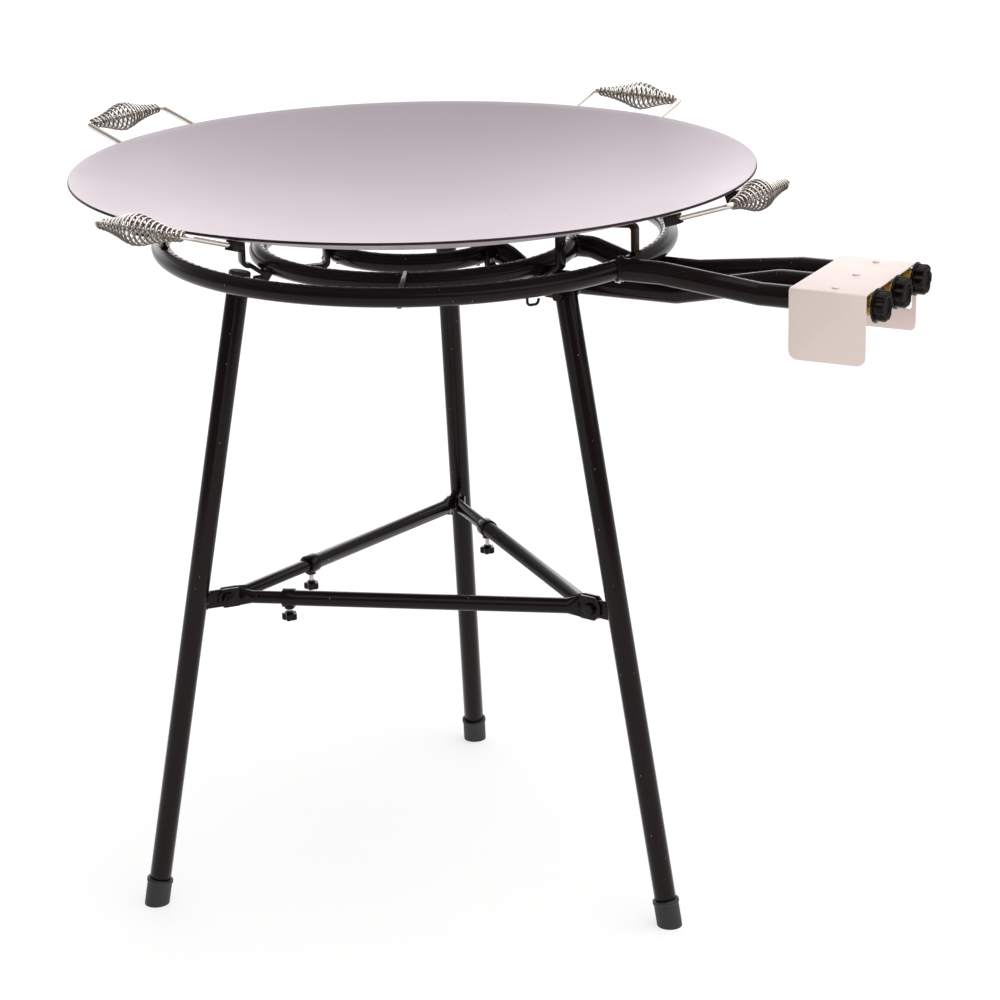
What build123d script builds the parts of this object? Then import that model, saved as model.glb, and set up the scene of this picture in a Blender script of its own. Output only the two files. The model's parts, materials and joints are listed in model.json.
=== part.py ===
from build123d import *
import math
import os

os.makedirs("parts", exist_ok=True)

# Three-ring gas griddle on a tripod. Millimetres, +Z up, floor at z = 0.
# The origin is on the floor under the burner axis, +X runs along the feed pipes to the knobs.

# Driving dimensions: burner
RING_Z = 770.0            # height of the outer ring centre above the floor
OUTER_RING_D = 600.0      # outside diameter of each ring
MIDDLE_RING_D = 380.0
INNER_RING_D = 210.0
INNER_DROP = 10.65        # inner two rings below the outer one
RING_TUBE_D = 21.3        # half-inch pipe
FEED_D = 25.0             # outside diameter of the feed pipes
FEED_WALL = 2.5
FEED_PITCH = 62.0         # spacing of the three feed pipes
BAR_W = 14.0              # flat bar of the spokes, ties and brackets
BAR_T = 5.0
POST_BEYOND_RING = 17.0   # outer spoke posts beyond the middle ring
BRACKET_ARM = 53.0        # reach of the pan brackets in from the outer ring

# Driving dimensions: griddle and its handles
GRIDDLE_D = 776.0
GRIDDLE_DEPTH = 62.0
GRIDDLE_T = 3.0
RIM_ABOVE_RING = 82.0
HANDLE_SPAN = 130.0       # between the two legs of one bail
HANDLE_REACH = (60.0, 61.0, 60.0, 52.0)   # each crossbar beyond the rim, along the slope of the dish
ROD_D = 6.0
COIL_MAX_D = 37.0
COIL_WIRE_D = 2.5
COIL_TURNS = 14

# Driving dimensions: valves and cover
VALVE_BELOW_RING = 12.0   # valve axis below the outer ring centre
COVER_LENGTH = 86.0
COVER_SIDE = 5.5           # room between the outer pipes and the outside of the cover
COVER_DROP = 77.0
COVER_T = 1.5
COVER_FROM_RING = 187.5   # start of the cover beyond the outer ring
VALVE_BAR_L = 19.0        # valve bar along the pipes
GLAND_AF = 20.0           # gland nuts across the flats
STEM_D = 8.0
JET_D = 8.0
KNOB_D = 33.0
KNOB_FLANGE_D = 37.0
KNOB_LENGTH = 13.5

# Driving dimensions: tripod
LEG_D = 25.0
LEG_WALL = 1.5
LEG_LEAN = 10.6           # degrees out of plumb
PIVOT_BELOW_RING = 38.0
TAB_Z = 368.0             # height of the brace bolts
TAB_REACH = 23.0          # brace bolt from the leg
BRACE_D = 18.0
BRACE_WALL = 1.5
BRACE_BARE = (36.0, 106.0, 76.0)   # inner tube left bare on each brace
CAP_D = 29.0
CAP_H = 32.0

# Azimuths in degrees about +Z
LEG_AZ = (-11.0, -131.0, 109.0)
PAN_BRACKET_AZ = (-5.5, -137.0, 102.0)
TIE_AZ = (-65.0, 65.0, 155.0)
HOOK_AZ = -36.5
HANDLE_AZ = (-7.0, -99.5, 170.0, 79.0)
COIL_TAIL = (1, -1, -1, 1)

# Clearances
WELD = 0.12               # gap left at a welded seam
SEAT = 0.3                # gap between pieces that only rest on each other
RUN = 0.08                # radial play of a pin in its hole
SLIDE = 0.1               # radial play of the telescoping braces
OPEN_PLAY = 0.5           # radial play at the far brace bolts

# Derived sizes
ring_r = RING_TUBE_D / 2
outer_c = OUTER_RING_D / 2 - ring_r
middle_c = MIDDLE_RING_D / 2 - ring_r
inner_c = INNER_RING_D / 2 - ring_r
valve_z = RING_Z - VALVE_BELOW_RING
inner_z = RING_Z - INNER_DROP
feed_r = FEED_D / 2
bore_r = feed_r - FEED_WALL
rim_z = RING_Z + RIM_ABOVE_RING
dish_r = ((GRIDDLE_D / 2) ** 2 + GRIDDLE_DEPTH ** 2) / (2 * GRIDDLE_DEPTH)
dish_z = rim_z - GRIDDLE_DEPTH + dish_r
under_r = dish_r + GRIDDLE_T
rim_angle = math.asin(GRIDDLE_D / 2 / dish_r)
feed_y = (-FEED_PITCH, 0.0, FEED_PITCH)


def underside(r):
    return dish_z - math.sqrt(under_r ** 2 - r ** 2)


def outward(az):
    return Vector(math.cos(math.radians(az)), math.sin(math.radians(az)), 0)


def around(az):
    return Vector(-math.sin(math.radians(az)), math.cos(math.radians(az)), 0)


def radial_plane(az):
    """Upright plane through the burner axis, drawn in radius and height."""
    return Plane(origin=(0, 0, 0), x_dir=outward(az), z_dir=around(az) * -1)


def save(builder, name):
    builder.part.label = name
    export_step(builder.part, f"parts/{name}.step")


def bent(plane, points, bend, draw):
    """Bar or tube swept along points of a plane, with an arc at each corner."""
    with BuildLine(plane) as run:
        FilletPolyline(*points, radius=bend)
    with BuildSketch(Plane(run.line @ 0, x_dir=plane.z_dir, z_dir=run.line % 0)) as section:
        draw()
    sweep(section.sketch, path=run.line)


def hexagon(plane, across, height):
    """Hexagonal prism of the given size across the flats."""
    with BuildSketch(plane) as section:
        RegularPolygon(radius=across / math.sqrt(3), side_count=6)
    extrude(section.sketch, amount=height)


def disc(plane, radius, height, mode=Mode.ADD):
    with BuildSketch(plane) as section:
        Circle(radius)
    extrude(section.sketch, amount=height, mode=mode)


# Griddle plate: a shallow spherical dish
with BuildPart() as griddle_plate:
    with BuildSketch(Plane.XZ):
        with BuildLine():
            upper = CenterArc((0, dish_z), dish_r, 270, math.degrees(rim_angle))
            lower = CenterArc((0, dish_z), under_r, 270, math.degrees(rim_angle))
            Line(upper @ 0, lower @ 0)
            Line(upper @ 1, lower @ 1)
        make_face()
    revolve(axis=Axis.Z)
save(griddle_plate, "griddle_plate")

# Handles: bails of round rod held in sockets under the rim
socket_w = 1.8 * ROD_D
socket_l = 17.0
socket_out = -2.0
rod_r = ROD_D / 2
corner_r = 0.9 * ROD_D
leg_x = HANDLE_SPAN / 2
near_x = leg_x - socket_w / 2
socket_sag = under_r - math.sqrt(under_r ** 2 - near_x ** 2 - socket_out ** 2)
rod_depth = SEAT - socket_sag + socket_w / 2


def rim_axes(az):
    """Point under the rim with its outward and downward directions."""
    out = outward(az) * math.cos(rim_angle) + Vector(0, 0, math.sin(rim_angle))
    down = outward(az) * math.sin(rim_angle) - Vector(0, 0, math.cos(rim_angle))
    return Vector(0, 0, dish_z) + down * under_r, out, down


for number, (az, reach) in enumerate(zip(HANDLE_AZ, HANDLE_REACH), 1):
    under, out, down = rim_axes(az)
    with BuildPart() as handle_bail:
        bent(
            Plane(origin=under + down * rod_depth, x_dir=around(az), z_dir=down),
            (
                (-leg_x, socket_out - socket_l + 2),
                (-leg_x, reach),
                (leg_x, reach),
                (leg_x, socket_out - socket_l + 2),
            ),
            corner_r,
            lambda: Circle(rod_r),
        )
    save(handle_bail, f"handle_bail_{number}")

with BuildPart() as handle_sockets:
    for az in HANDLE_AZ:
        under, out, down = rim_axes(az)
        mouth = under + down * rod_depth + out * socket_out
        with BuildSketch(Plane(origin=mouth, x_dir=around(az), z_dir=out * -1)):
            with Locations((-leg_x, 0), (leg_x, 0)):
                Rectangle(socket_w, socket_w)
                Circle(rod_r + RUN, mode=Mode.SUBTRACT)
        extrude(amount=socket_l)
save(handle_sockets, "handle_sockets")

# Spring grips: spindle coils round the crossbars, each half turn a pair of tangent arcs
coil_length = HANDLE_SPAN - 2 * corner_r - COIL_WIRE_D - 1
coil_end_r = rod_r + RUN + 0.1 + COIL_WIRE_D / 2
coil_max_r = (COIL_MAX_D - COIL_WIRE_D) / 2


def coil_radius(share):
    swell = math.sin(math.pi * share ** 0.868) ** 2
    return coil_end_r + (coil_max_r - coil_end_r) * swell


def coil_point(turn, tail):
    share = min(max(turn / COIL_TURNS, 0.0), 1.0)
    angle = 2 * math.pi * turn
    along = tail * coil_length * (turn / COIL_TURNS - 0.5)
    radius = coil_radius(share)
    return Vector(along, radius * math.cos(angle), tail * radius * math.sin(angle))


def coil_tangent(turn, tail):
    step = 1e-4
    return (coil_point(turn + step, tail) - coil_point(turn - step, tail)).normalized()


def biarc(start, start_dir, end, end_dir):
    """Middle point and direction of two equal-tangent arcs."""
    chord = end - start
    both = start_dir + end_dir
    spread = 2 * (1 - start_dir.dot(end_dir))
    lean = chord.dot(both)
    reach = (-lean + math.sqrt(lean ** 2 + spread * chord.dot(chord))) / spread
    first = start + start_dir * reach
    second = end - end_dir * reach
    return (first + second) * 0.5, (second - first).normalized()


grips = []
for az, reach, tail in zip(HANDLE_AZ, HANDLE_REACH, COIL_TAIL):
    under, out, down = rim_axes(az)
    centre = under + down * rod_depth + out * reach
    frame = Plane(origin=centre, x_dir=around(az), z_dir=down)
    with BuildPart() as spring_grip:
        with BuildLine(mode=Mode.PRIVATE) as coil:
            for half in range(2 * COIL_TURNS):
                a, b = half / 2, half / 2 + 0.5
                start, start_dir = coil_point(a, tail), coil_tangent(a, tail)
                end, end_dir = coil_point(b, tail), coil_tangent(b, tail)
                middle, middle_dir = biarc(start, start_dir, end, end_dir)
                TangentArc(start, middle, tangent=start_dir)
                TangentArc(middle, end, tangent=middle_dir)
        path = frame.from_local_coords(Wire(coil.line.edges()))
        with BuildSketch(Plane(origin=path @ 0, z_dir=path % 0)):
            RegularPolygon(radius=COIL_WIRE_D / 2, side_count=4)
        sweep(path=path, clean=False)
    grips.append(spring_grip.part.solid())
spring_grips = Compound(label="spring_grips", children=grips)
export_step(spring_grips, "parts/spring_grips.step")

samples = [coil_point(i / 24, 1) for i in range(24 * COIL_TURNS + 1)]
least = min(
    (samples[i] - samples[j]).length - COIL_WIRE_D
    for i in range(len(samples))
    for j in range(i + 12, min(i + 37, len(samples)))
)
print(f"least gap between coil turns {least:.2f} mm")

# Burner rings: pipe bent into circles
for name, centre_r, centre_z in (
    ("outer_ring", outer_c, RING_Z),
    ("middle_ring", middle_c, inner_z),
    ("inner_ring", inner_c, inner_z),
):
    with BuildPart() as ring:
        with BuildSketch(Plane.XZ):
            with Locations((centre_r, centre_z)):
                Circle(ring_r)
        revolve(axis=Axis.Z)
    save(ring, name)

# Cover and valve stations along X
cover_x0 = OUTER_RING_D / 2 + COVER_FROM_RING
cover_x1 = cover_x0 + COVER_LENGTH
cover_width = 2 * (FEED_PITCH + feed_r + COVER_SIDE)
cover_top = valve_z + feed_r + SEAT + COVER_T
cover_bottom = cover_top - COVER_DROP
pipe_end = cover_x0 + 0.36 * COVER_LENGTH
manifold_x1 = cover_x1 - 11.0
manifold_x0 = manifold_x1 - VALVE_BAR_L
knob_x0 = cover_x1 + 4.0

# Feed pipes: the inner two dip under the rings that they cross and climb to the valves
under_outer = RING_Z - ring_r - feed_r - 3.0
under_middle = inner_z - ring_r - feed_r - 3.0
pipe_bend = 1.3 * FEED_D


def pipe_section():
    Circle(feed_r)
    Circle(bore_r, mode=Mode.SUBTRACT)


def feed_pipe(points, y, centre_r, centre_z):
    bent(Plane((0, y, 0), x_dir=(1, 0, 0), z_dir=(0, -1, 0)), points, pipe_bend, pipe_section)
    with BuildSketch(Plane.XZ) as seam:
        with Locations((centre_r, centre_z)):
            Circle(ring_r + WELD)
    revolve(seam.sketch, axis=Axis.Z, mode=Mode.SUBTRACT)


def dip(start_x, cross_x, low):
    """Points from an inner ring down to the run that passes under the next ring."""
    gap = cross_x - start_x
    return (start_x, inner_z), (start_x + 0.23 * gap, inner_z), (cross_x - 0.35 * gap, low)


climb_x0 = OUTER_RING_D / 2 + 25
climb_x1 = cover_x0 - 40

start_x = math.sqrt(outer_c ** 2 - feed_y[0] ** 2)
with BuildPart() as outer_feed_pipe:
    feed_pipe(
        (
            (start_x, RING_Z),
            (climb_x0 + 10, RING_Z),
            (climb_x1, valve_z),
            (pipe_end, valve_z),
        ),
        feed_y[0],
        outer_c,
        RING_Z,
    )
save(outer_feed_pipe, "outer_feed_pipe")

with BuildPart() as inner_feed_pipe:
    feed_pipe(
        (
            *dip(inner_c, middle_c, under_middle),
            (climb_x0, under_middle),
            (climb_x1, valve_z),
            (pipe_end, valve_z),
        ),
        feed_y[1],
        inner_c,
        inner_z,
    )
save(inner_feed_pipe, "inner_feed_pipe")

start_x = math.sqrt(middle_c ** 2 - feed_y[2] ** 2)
with BuildPart() as middle_feed_pipe:
    feed_pipe(
        (
            *dip(start_x, math.sqrt(outer_c ** 2 - feed_y[2] ** 2), under_outer),
            (climb_x0, under_outer),
            (climb_x1, valve_z),
            (pipe_end, valve_z),
        ),
        feed_y[2],
        middle_c,
        inner_z,
    )
save(middle_feed_pipe, "middle_feed_pipe")

# Spokes: flat bar under the inner two rings, stepped up over the leg heads, turned up at both ends
strap_top = inner_z - ring_r - WELD
strap_mid = strap_top - BAR_T / 2
strap_low = strap_top - BAR_T
post_in = INNER_RING_D / 2 + WELD + BAR_T / 2
post_out = MIDDLE_RING_D / 2 + POST_BEYOND_RING
bar_bend = 1.2 * BAR_T
step_in = middle_c + BAR_T
step_out = post_out - 1.65 * BAR_T
with BuildPart() as ring_spokes:
    for az in LEG_AZ:
        bent(
            radial_plane(az),
            (
                (post_in, inner_z + ring_r + 3.5),
                (post_in, strap_mid),
                (step_in, strap_mid),
                (step_out, strap_mid + INNER_DROP),
                (post_out, strap_mid + INNER_DROP),
                (post_out, underside(post_out - BAR_T / 2) - SEAT),
            ),
            bar_bend,
            lambda: Rectangle(BAR_W, BAR_T),
        )
save(ring_spokes, "ring_spokes")

# Ties: flat bars on edge between the middle and outer rings, their ends cut to the pipes
with BuildPart() as ring_ties:
    for az in TIE_AZ:
        with BuildSketch(radial_plane(az)):
            with Locations(((middle_c + outer_c) / 2, (RING_Z + inner_z) / 2)):
                Rectangle(outer_c - middle_c, BAR_W)
        extrude(amount=BAR_T / 2, both=True)
    with BuildSketch(Plane.XZ) as pipes:
        with Locations((outer_c, RING_Z), (middle_c, inner_z)):
            Circle(ring_r + WELD)
    revolve(pipes.sketch, axis=Axis.Z, mode=Mode.SUBTRACT)
save(ring_ties, "ring_ties")

# Pan brackets: posts on the outer ring with an arm turned in under the dish
arm_t = 0.8 * BAR_T
arm_r = outer_c - BRACKET_ARM
arm_drop = 4.0
arm_z = underside(arm_r) - SEAT - arm_t / 2
with BuildPart() as pan_brackets:
    for az in PAN_BRACKET_AZ:
        bent(
            radial_plane(az),
            (
                (outer_c, RING_Z + ring_r + WELD),
                (outer_c, arm_z + arm_drop),
                (arm_r, arm_z),
            ),
            1.2 * arm_t,
            lambda: Rectangle(BAR_W - 1, arm_t),
        )
save(pan_brackets, "pan_brackets")

# Hook of wire under the outer ring
hook_r = 1.5
hook_z = RING_Z - ring_r - WELD
with BuildPart() as ring_hook:
    bent(
        radial_plane(HOOK_AZ),
        (
            (outer_c, hook_z),
            (outer_c, hook_z - 13),
            (outer_c + 11, hook_z - 13),
            (outer_c + 11, hook_z - 7),
        ),
        4.0,
        lambda: RegularPolygon(hook_r, 6),
    )
save(ring_hook, "ring_hook")

# Leg lines: the leg heads stand under the ends of the spokes
lean = math.radians(LEG_LEAN)
leg_r = LEG_D / 2
pivot_z = RING_Z - PIVOT_BELOW_RING
head_up = 17.0
pivot_r = post_out + 6.5
bolt_r = 4.0
lug_t = 5.0
lug_disc = leg_r - LEG_WALL - 2.5
slot_w = lug_t + 0.6
foot_pad = 9.0
floor_s = -pivot_z / math.cos(lean)


def leg_up(az):
    return outward(az) * -math.sin(lean) + Vector(0, 0, math.cos(lean))


def leg_plane(az, s):
    """Plane across the leg, s above the pivot along the leg; local y points inward."""
    pivot = outward(az) * pivot_r + Vector(0, 0, pivot_z)
    return Plane(origin=pivot + leg_up(az) * s, x_dir=around(az), z_dir=leg_up(az))


def leg_axis(z):
    return pivot_r + (pivot_z - z) * math.tan(lean)


# Leg lugs: plates under the spokes with a tongue that reaches into the leg heads
lug_r1 = pivot_r - leg_r / math.cos(lean) - 6.0
lug_r0 = lug_r1 - 22.0
with BuildPart() as leg_lugs:
    for az in LEG_AZ:
        with BuildSketch(radial_plane(az)):
            with Locations((pivot_r, pivot_z)):
                Circle(lug_disc)
            with Locations((lug_r1 - 4, pivot_z)):
                Rectangle(8, 2 * lug_disc)
            make_hull()
            with BuildLine():
                Polyline(
                    (lug_r0, strap_low - WELD),
                    (lug_r1, strap_low - WELD),
                    (lug_r1, pivot_z - lug_disc),
                    (lug_r1 - 8, pivot_z - lug_disc),
                    close=True,
                )
            make_face()
            with Locations((pivot_r, pivot_z)):
                Circle(bolt_r + RUN, mode=Mode.SUBTRACT)
        extrude(amount=lug_t / 2, both=True)
save(leg_lugs, "leg_lugs")

# Leg bolts and nuts
head_gap = leg_r + SEAT
nut_h = 6.5
with BuildPart() as leg_bolts:
    for az in LEG_AZ:
        pivot = outward(az) * pivot_r + Vector(0, 0, pivot_z)
        side = around(az)
        disc(Plane(origin=pivot - side * head_gap, z_dir=side), bolt_r, 2 * head_gap + nut_h + 3)
        hexagon(Plane(origin=pivot - side * head_gap, z_dir=side * -1), 13.0, 5.3)
save(leg_bolts, "leg_bolts")

with BuildPart() as leg_nuts:
    for az in LEG_AZ:
        pivot = outward(az) * pivot_r + Vector(0, 0, pivot_z)
        face = Plane(origin=pivot + around(az) * (head_gap + SEAT), z_dir=around(az))
        hexagon(face, 13.0, nut_h)
        disc(face, bolt_r + RUN, nut_h, mode=Mode.SUBTRACT)
save(leg_nuts, "leg_nuts")

# Air mixers: open sleeves between the pipe ends and the valve bar
mixer_x0 = pipe_end + SEAT
mixer_x1 = manifold_x0 - SEAT
screw_x = (mixer_x0 + mixer_x1) / 2 + 2
screw_r = 2.0
with BuildPart() as air_mixers:
    for y in feed_y:
        with BuildSketch(Plane.YZ.offset(pipe_end - 12)):
            with Locations((y, valve_z)):
                Circle(bore_r - SLIDE)
        extrude(amount=12 + SEAT)
        with BuildSketch(Plane.YZ.offset(mixer_x0)):
            with Locations((y, valve_z)):
                Circle(feed_r)
        extrude(amount=mixer_x1 - mixer_x0)
        with BuildSketch(Plane.YZ.offset(pipe_end - 12)):
            with Locations((y, valve_z)):
                Circle(bore_r - 2)
        extrude(amount=mixer_x1 - pipe_end + 12, mode=Mode.SUBTRACT)
        with BuildSketch(Plane.XZ.offset(-y)):
            with Locations((mixer_x0 + 7, valve_z)):
                Rectangle(8, 10)
        extrude(amount=FEED_D, both=True, mode=Mode.SUBTRACT)
        with BuildSketch(Plane.XY.offset(valve_z)):
            with Locations((screw_x, y)):
                Circle(screw_r + RUN)
        extrude(amount=FEED_D, mode=Mode.SUBTRACT)
save(air_mixers, "air_mixers")

# Valve bar: brass, bored for three stems, three jets and the gas inlet
stem_r = STEM_D / 2
jet_r = JET_D / 2
inlet_r = 8.33           # three-eighths pipe thread
inlet_l = 18.0
inlet_z = valve_z - 3.0
bar_y1 = cover_width / 2 - COVER_T - 2.0
bar_y0 = -bar_y1
inlet_y1 = bar_y1 + inlet_l
bar_x = (manifold_x0 + manifold_x1) / 2
with BuildPart() as gas_manifold:
    with BuildSketch(Plane.YZ.offset(manifold_x0)):
        with Locations(((bar_y0 + bar_y1) / 2, valve_z)):
            Rectangle(bar_y1 - bar_y0, FEED_D)
    extrude(amount=manifold_x1 - manifold_x0)
    chamfer(gas_manifold.edges().filter_by(Axis.Y), 0.8)
    disc(Plane(origin=(bar_x, bar_y1, inlet_z), z_dir=(0, 1, 0)), inlet_r, inlet_l)
    disc(Plane(origin=(bar_x, inlet_y1, inlet_z), z_dir=(0, -1, 0)), 5.0, inlet_y1 - bar_y0 - 10,
         mode=Mode.SUBTRACT)
    for y in feed_y:
        disc(Plane(origin=(manifold_x1, y, valve_z), z_dir=(-1, 0, 0)), stem_r + RUN, 12,
             mode=Mode.SUBTRACT)
        disc(Plane(origin=(manifold_x0, y, valve_z), z_dir=(1, 0, 0)), jet_r + RUN, 1.5 * jet_r,
             mode=Mode.SUBTRACT)
save(gas_manifold, "gas_manifold")

# Jets: brass nozzles from the valve bar into the mixers
with BuildPart() as gas_jets:
    for y in feed_y:
        with BuildSketch(Plane(origin=(0, y, valve_z), x_dir=(1, 0, 0), z_dir=(0, -1, 0))):
            with BuildLine():
                Polyline(
                    (manifold_x0 + 1.25 * jet_r, 0),
                    (manifold_x0 + 1.25 * jet_r, jet_r),
                    (manifold_x0 - SEAT, jet_r),
                    (manifold_x0 - SEAT, 1.35 * jet_r),
                    (manifold_x0 - 1.25 * jet_r, 1.35 * jet_r),
                    (manifold_x0 - 3.5 * jet_r, 0.6 * jet_r),
                    (manifold_x0 - 3.5 * jet_r, 0),
                    close=True,
                )
            make_face()
        revolve(axis=Axis((0, y, valve_z), (1, 0, 0)))
save(gas_jets, "gas_jets")

# Gland nuts round the stems
with BuildPart() as gland_nuts:
    for y in feed_y:
        face = Plane(origin=(manifold_x1, y, valve_z), x_dir=(0, 1, 0), z_dir=(1, 0, 0))
        hexagon(face, GLAND_AF, knob_x0 - 1.5 - manifold_x1)
        disc(face, stem_r + RUN, knob_x0 - manifold_x1, mode=Mode.SUBTRACT)
save(gland_nuts, "gland_nuts")

# Valve stems and knobs
stem_x0 = manifold_x1 - 11.5
stem_x1 = knob_x0 + 0.7 * KNOB_LENGTH
flange_t = 2.5
lobe_r = 0.3 * KNOB_D / 2
for number, y in enumerate(feed_y, 1):
    with BuildPart() as valve_stem:
        disc(Plane(origin=(stem_x0, y, valve_z), z_dir=(1, 0, 0)), stem_r, stem_x1 - stem_x0)
    save(valve_stem, f"valve_stem_{number}")

    with BuildPart() as knob:
        back = Plane(origin=(knob_x0, y, valve_z), x_dir=(0, 1, 0), z_dir=(1, 0, 0))
        disc(back, KNOB_FLANGE_D / 2, flange_t)
        with BuildSketch(back.offset(flange_t)):
            Circle(KNOB_D / 2)
            with PolarLocations(KNOB_D / 2 + 0.55 * lobe_r, 6, start_angle=30):
                Circle(lobe_r, mode=Mode.SUBTRACT)
        extrude(amount=KNOB_LENGTH - flange_t)
        chamfer(knob.edges().group_by(Axis.X)[-1], 1.2)
        disc(back.offset(KNOB_LENGTH - 1.5), 0.55 * KNOB_D / 2, 2, mode=Mode.SUBTRACT)
        disc(back, stem_r + RUN, stem_x1 - knob_x0 + SEAT, mode=Mode.SUBTRACT)
    save(knob, f"knob_{number}")

# Cover: bent sheet over the pipe ends and valves
cover_bend = 2 * COVER_T
with BuildPart() as valve_cover:
    with BuildSketch(Plane.YZ.offset(cover_x0)):
        with Locations((0, cover_top - COVER_DROP / 2)):
            shell = Rectangle(cover_width, COVER_DROP)
        fillet(shell.vertices().group_by(Axis.Y)[-1], cover_bend)
        with BuildSketch(Plane.YZ.offset(cover_x0), mode=Mode.SUBTRACT):
            with Locations((0, cover_top - COVER_DROP / 2 - COVER_T)):
                hollow = Rectangle(cover_width - 2 * COVER_T, COVER_DROP)
            fillet(hollow.vertices().group_by(Axis.Y)[-1], cover_bend - COVER_T)
    extrude(amount=COVER_LENGTH)
    fillet(valve_cover.edges().filter_by(Axis.Y).group_by(Axis.Z)[0], 10)
    window_x0 = bar_x - 25
    window_x1 = cover_x1 - 5
    window_z0 = cover_bottom + 24
    window_z1 = valve_z + 10
    with BuildSketch(Plane.XZ.offset(-cover_width / 2 - 1)):
        with Locations(((window_x0 + window_x1) / 2, (window_z0 + window_z1) / 2)):
            RectangleRounded(window_x1 - window_x0, window_z1 - window_z0, 3)
    extrude(amount=COVER_T + 3, mode=Mode.SUBTRACT)
    with BuildSketch(Plane.XY.offset(cover_top + 1)):
        with Locations(*[(screw_x, y) for y in feed_y]):
            Circle(screw_r + RUN)
    extrude(amount=-COVER_T - 2, mode=Mode.SUBTRACT)
save(valve_cover, "valve_cover")

# Cover screws
with BuildPart() as cover_screws:
    for y in feed_y:
        top = Plane(origin=(screw_x, y, cover_top), z_dir=(0, 0, 1))
        disc(top, 2 * screw_r, 1.4)
        disc(top, screw_r, -COVER_T - SEAT - 3)
save(cover_screws, "cover_screws")

# Legs, their plugs, caps and brace tabs
tab_t = 4.0
tab_h = 21.0
tab_root = leg_axis(TAB_Z) - leg_r / math.cos(lean) - WELD
tab_bolt = tab_root - TAB_REACH
for number, az in enumerate(LEG_AZ, 1):
    with BuildPart() as leg:
        with BuildSketch(leg_plane(az, head_up)):
            Circle(leg_r)
            Circle(leg_r - LEG_WALL, mode=Mode.SUBTRACT)
        extrude(amount=floor_s + foot_pad + SEAT - head_up)
        with BuildSketch(leg_plane(az, head_up - 4)):
            with Locations((0, leg_r)):
                Rectangle(slot_w, LEG_D)
        extrude(amount=-head_up - 8, mode=Mode.SUBTRACT)
        with BuildSketch(radial_plane(az)):
            with Locations((pivot_r, pivot_z)):
                Circle(bolt_r + RUN)
        extrude(amount=LEG_D, both=True, mode=Mode.SUBTRACT)
    save(leg, f"leg_{number}")

    with BuildPart() as leg_plug:
        with BuildSketch(leg_plane(az, head_up + WELD)):
            Circle(leg_r)
        extrude(amount=2.5)
        chamfer(leg_plug.faces().sort_by(Axis((0, 0, 0), leg_up(az)))[-1].edges(), 1.5)
        with BuildSketch(leg_plane(az, head_up + WELD)):
            Circle(leg_r - LEG_WALL - RUN)
        extrude(amount=-3)
    save(leg_plug, f"leg_plug_{number}")

    with BuildPart() as foot_cap:
        with BuildSketch(leg_plane(az, floor_s + CAP_H)):
            Circle(CAP_D / 2)
        extrude(amount=-CAP_H - CAP_D / 4)
        with BuildSketch(leg_plane(az, floor_s + CAP_H)):
            Circle(CAP_D / 2 + 0.9)
        extrude(amount=-5)
        with BuildSketch(leg_plane(az, floor_s + CAP_H)):
            Circle(leg_r + RUN)
        extrude(amount=-CAP_H + foot_pad, mode=Mode.SUBTRACT)
        split(bisect_by=Plane.XY, keep=Keep.TOP)
    save(foot_cap, f"foot_cap_{number}")

    with BuildPart() as brace_tab:
        rise = tab_h / 2 * math.tan(lean)
        with BuildSketch(radial_plane(az)):
            with BuildLine():
                Polyline(
                    (tab_bolt, TAB_Z - tab_h / 2),
                    (tab_root + rise, TAB_Z - tab_h / 2),
                    (tab_root - rise, TAB_Z + tab_h / 2),
                    (tab_bolt, TAB_Z + tab_h / 2),
                    close=True,
                )
            make_face()
            with Locations((tab_bolt, TAB_Z)):
                Circle(tab_h / 2)
                Circle(bolt_r + RUN, mode=Mode.SUBTRACT)
        extrude(amount=tab_t / 2, both=True)
    save(brace_tab, f"brace_tab_{number}")

# Braces: telescoping tubes with flattened ends either side of the tabs
spade_t = 3.0
spade_off = tab_t / 2 + SEAT + spade_t / 2
spade_l = 14.0
neck_l = 16.0
outer_r = BRACE_D / 2
slide_r = outer_r - BRACE_WALL
inner_r = slide_r - SLIDE
outer_spade_h = math.pi * outer_r - 1
inner_spade_h = math.pi * inner_r - 1
insert_l = 150.0
collar_r = outer_r + 2.0
collar_l = 14.0
clamp_r = 3.0
boss_l = collar_r + 1.5
grip_z = boss_l + 1.5
grip_r = 7.5
grip_h = 8.0
upright = Vector(0, 0, 1)

for number, az in enumerate(LEG_AZ, 1):
    centre = outward(az) * tab_bolt + upright * TAB_Z
    side = around(az)
    stack = spade_off + spade_t / 2 + SEAT
    with BuildPart() as tab_bolt_set:
        disc(Plane(origin=centre - side * stack, z_dir=side), bolt_r, 2 * stack)
        hexagon(Plane(origin=centre - side * stack, z_dir=side * -1), 13.0, 5.3)
        hexagon(Plane(origin=centre + side * stack, z_dir=side), 13.0, 6.5)
        disc(Plane(origin=centre + side * (stack + 6.5), z_dir=side), bolt_r - 0.3, 3.0)
    save(tab_bolt_set, f"tab_bolt_{number}")


def spade(root, inward, side, height, hole, along, tube_r):
    """Flattened end beside a tab, corners cut, with the neck that swells into the round tube."""
    end_l = 0.5 * height
    with BuildSketch(Plane(origin=root, x_dir=inward, z_dir=side)) as plate:
        with Locations(((spade_l - end_l) / 2, 0)):
            outline = Rectangle(spade_l + end_l, height)
        chamfer(outline.vertices().group_by(Axis.X)[0], 0.3 * height)
        Circle(hole, mode=Mode.SUBTRACT)
    extrude(plate.sketch, amount=spade_t / 2, both=True)
    knee = root + inward * spade_l
    with BuildSketch(Plane(origin=knee - inward * 0.5, x_dir=upright, z_dir=inward)) as flat:
        Ellipse(height / 2, spade_t / 2)
    with BuildSketch(Plane(origin=knee + along * neck_l, x_dir=upright, z_dir=along)) as full:
        Circle(tube_r)
    loft([flat.sketch, full.sketch])


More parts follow.
